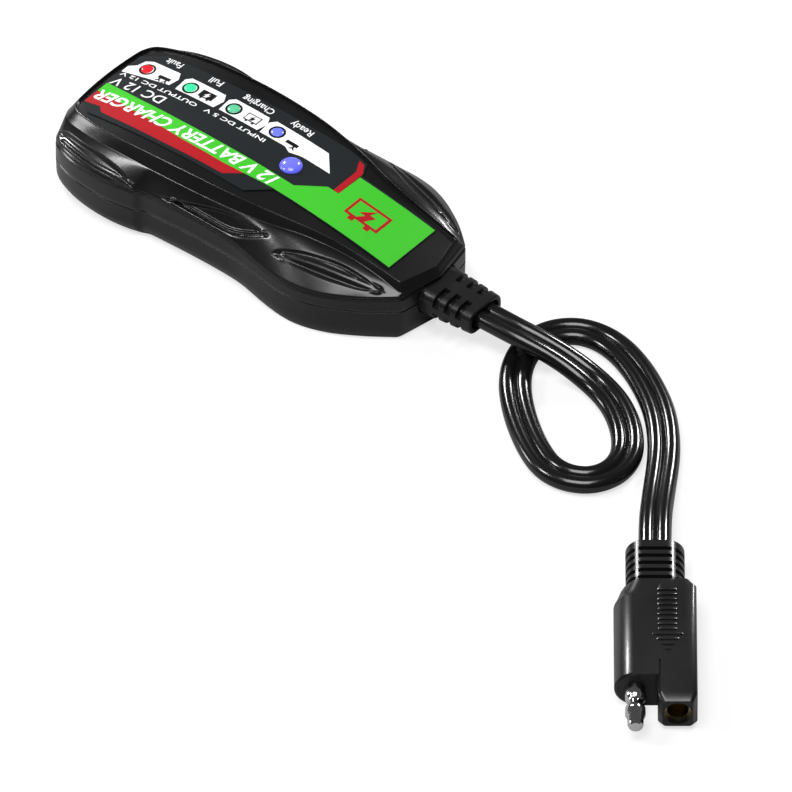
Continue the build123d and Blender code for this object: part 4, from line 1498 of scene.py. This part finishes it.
@dataclass
class Plug:
    """The two-pole plug, its pin and the raised arrow."""

    spot: Triple = (141.8, -35.28, PLUG_Z)
    heading: float = -50.5
    pole_y: float = 4.75
    thickness: float = 9.5
    sleeve: Triple = (13.4, 8.6, 4.1)
    shoulder: Triple = (17.6, 9.2, 4.0)
    male_x: float = 46.0
    female_x: float = 54.0
    bore: float = 3.1
    pin: float = 2.3
    slots: Slots = Slots((3.2, 5.6, 8.0, 10.4, 12.8), 1.05, 0.9)

    def place(self) -> Matrix:
        """The plug's own frame: X from the lead to the pins, Y to the female half."""
        return Matrix.Translation(self.spot) @ Matrix.Rotation(math.radians(self.heading), 4, "Z")

    def turned(self, name: str, profile: Plan, y: float, finish: Finish | None) -> bpy.types.Object:
        """A piece turned about a pole's axis; the profile is (radius, x)."""
        along = Matrix.Translation((0, y, 0)) @ Matrix.Rotation(math.radians(90), 4, "Y")
        return lathe(name, profile, finish.build() if finish else None, self.place() @ along, 72)

    def size_at(self, x: float) -> Triple:
        """Width, height and corner radius of the sleeve at x."""
        t = float(smoothstep(x, 11.5, 21.0))
        return tuple(a + (b - a) * t for a, b in zip(self.sleeve, self.shoulder))

    def sleeve_body(self) -> bpy.types.Object:
        """The slotted sleeve with its hollow mouth."""
        width, height, radius = self.sleeve
        sizes = [(width - cut, height - cut, corner) for cut, corner in ((2.6, 2.9), (2.2, 3.1), (0.9, 3.7))]
        mouth = bar_rings([3.0, 0.3, 0.0], 0, sizes, 192)
        ends = [0.35, 15.0, 17.0, 19.0, 21.0, 24.0]
        rings = [*mouth, *self.slots.rings(ends, self.size_at, lambda y, z: (y > 3.7) & (y < 4.6))]
        return placed(tube_along("plug_moulding", rings, [PVC.build()]), self.place())

    def bar(self, xs: list[float], y: float, sizes: list[Triple]) -> bpy.types.Object:
        """A closed rounded bar in the plug's frame."""
        return placed(tube_along("tool", bar_rings(xs, y, sizes), [PVC.build()]), self.place())

    def build_body(self) -> bpy.types.Object:
        """The moulded body: sleeve, round male half, square female half and the web between."""
        body = self.sleeve_body()
        full, half, male, female = self.thickness, self.thickness / 2, self.male_x, self.female_x
        barrel = [(2.6, 13.0), (3.3, 14.6), (3.7, 16.0), (4.1, 17.4), (4.5, 18.6), (half, 19.2)]
        barrel += [(half, male - 0.5), (half - 0.5, male)]
        shroud, web = (8.9, full, 0.9), (full, full, 0.3)
        shroud_sizes = [(6.4, 8.0, 1.6), shroud, shroud, (6.9, 7.5, 0.9)]
        adds = [
            self.turned("tool", barrel, -self.pole_y, PVC),
            self.bar([13.0, 16.0, female - 2.2, female], self.pole_y, shroud_sizes),
            self.bar([16.0, 19.5, male], 0.0, [(8.0, 8.6, 0.6), web, web]),
        ]
        combine(body, adds, "UNION")
        bore = self.turned("tool", [(self.bore, 39.9), (self.bore, 56.0)], self.pole_y, None)
        line = placed(block((41.0, 0.55, 4.3), (55.0, 0.95, 6.0)), self.place())
        hole = self.turned("tool", [(1.8, 43.0), (1.8, 47.0)], -self.pole_y, None)
        combine(body, [bore, line, hole], "DIFFERENCE")
        tidy_mesh(body.data)
        return settle(body, "root", "moulded_pvc", "plug_body")

    def build_pin(self) -> bpy.types.Object:
        """The bare pin, with its neck and bulb."""
        r, neck, waist, length = self.pin, 49.2, 0.6, 3.3
        profile = [(1.6, 43.2), (1.78, 43.4), (1.78, 46.05), (2.15, 46.05), (r, 46.2), (r, neck)]
        angles = np.linspace(0, math.pi, 12)[1:]
        profile += [(r - waist * math.sin(a), neck + length * a / math.pi) for a in angles]
        profile += [(r, 54.4), (1.85, 55.6), (1.8, 57.6), (1.65, 58.1), (1.2, 58.45), (0.5, 58.5)]
        pin = self.turned("male_pin_plated", profile, -self.pole_y, CHROME)
        return settle(pin, "root", "chrome", "male_pin")

    def build_arrow(self, repeat: Repeat) -> bpy.types.Object:
        """The arrow of raised bars on the broad face; it points to the pins."""
        first, pitch, bars, head = 17.6, 1.66, 13, 4
        spots, sizes = [], []
        for i in range(bars):
            taper = max(0, i - (bars - head) + 1)
            width = 4.3 if taper == 0 else 6.9 * (1 - (taper - 1) / (head - 0.4))
            spots.append((first + pitch * i, 2.6, self.thickness / 2))
            sizes.append((0.62, width, 1.0))
        ring = rounded_section(1.0, 1.0, 0.12, 32)
        layers = [(-0.15, 1.0), (0.16, 1.0), (0.24, 0.93)]
        bar = tube_along("bar", [np.column_stack([ring * share, np.full(32, z)]) for z, share in layers], [])
        arrow = placed(repeat.over("plug_arrow", bar, spots, sizes, PVC), self.place())
        return settle(arrow, "root", "moulded_pvc")


def build_screws(repeat: Repeat) -> bpy.types.Object:
    """Four case screws with threads and a cross recess, repeated from one."""
    thread, start, pitch, core, crest = [], 4.6, 0.7, 1.08, 1.3
    for i in range(13):
        z = start + pitch * i
        thread += [(core, z), (crest, z + 0.22), (core, z + 0.44)]
    head = [(1.5, 1.34), (2.2, 1.42), (2.4, 1.75), (2.4, 2.8), (2.3, 2.98), (1.3, 3.0), (1.2, 4.4)]
    screw = lathe("screw", [*head, *thread, (0.5, 14.0)], STEEL.build(), Matrix.Identity(4), 36)
    cross = [block((-1.5, -0.3, 0.5), (1.5, 0.3, 2.0)), block((-0.3, -1.5, 0.5), (0.3, 1.5, 1.98))]
    combine(screw, cross, "DIFFERENCE")
    spots = [(x, y, 0.0) for x, y in SCREW_SPOTS]
    screws = repeat.over("case_screw_set", screw, spots, [(1.0, 1.0, 1.0)] * len(spots), STEEL, math.pi)
    return settle(screws, "root", "steel", "case_screws")


DRESSING = {
    STEEL: ("usb_c_shell",),
    EPOXY: ("usb_c_tongue", "power_inductor", "charge_controller_chip", "power_transistors", "chip_resistors",
            "tactile_switch", "switch_plunger"),
    BOARD: ("circuit_board",),
    CERAMIC: ("status_leds", "fuse"),
    CAN: ("filter_capacitors",),
    BRASS: ("output_terminals", "female_terminal"),
    RED_CORE: ("lead_positive",),
    JACKET: ("lead_negative",),
}  # fmt: skip


def dress_nodes() -> None:
    """Gives the CAD nodes that stay in view their own finishes."""
    for finish, names in DRESSING.items():
        for name in names:
            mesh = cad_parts[name].data
            mesh.materials.clear()
            mesh.materials.append(finish.build())


def main() -> None:
    """Builds the charger in order and reports each piece."""
    logging.basicConfig(level=logging.INFO, format="%(message)s")
    Studio().build()
    housing = Housing()
    housing.build_upper()
    housing.build_lower()
    Label().build()
    StatusLights().build()
    PushButton().build()
    repeat = Repeat()
    build_screws(repeat)
    relief, plug = Relief().build(), Plug()
    far_end = [plug.build_body(), plug.build_pin(), plug.build_arrow(repeat), relief, "female_terminal"]
    dress_nodes()
    TwinLead().build(far_end)


if __name__ == "__main__":
    main()
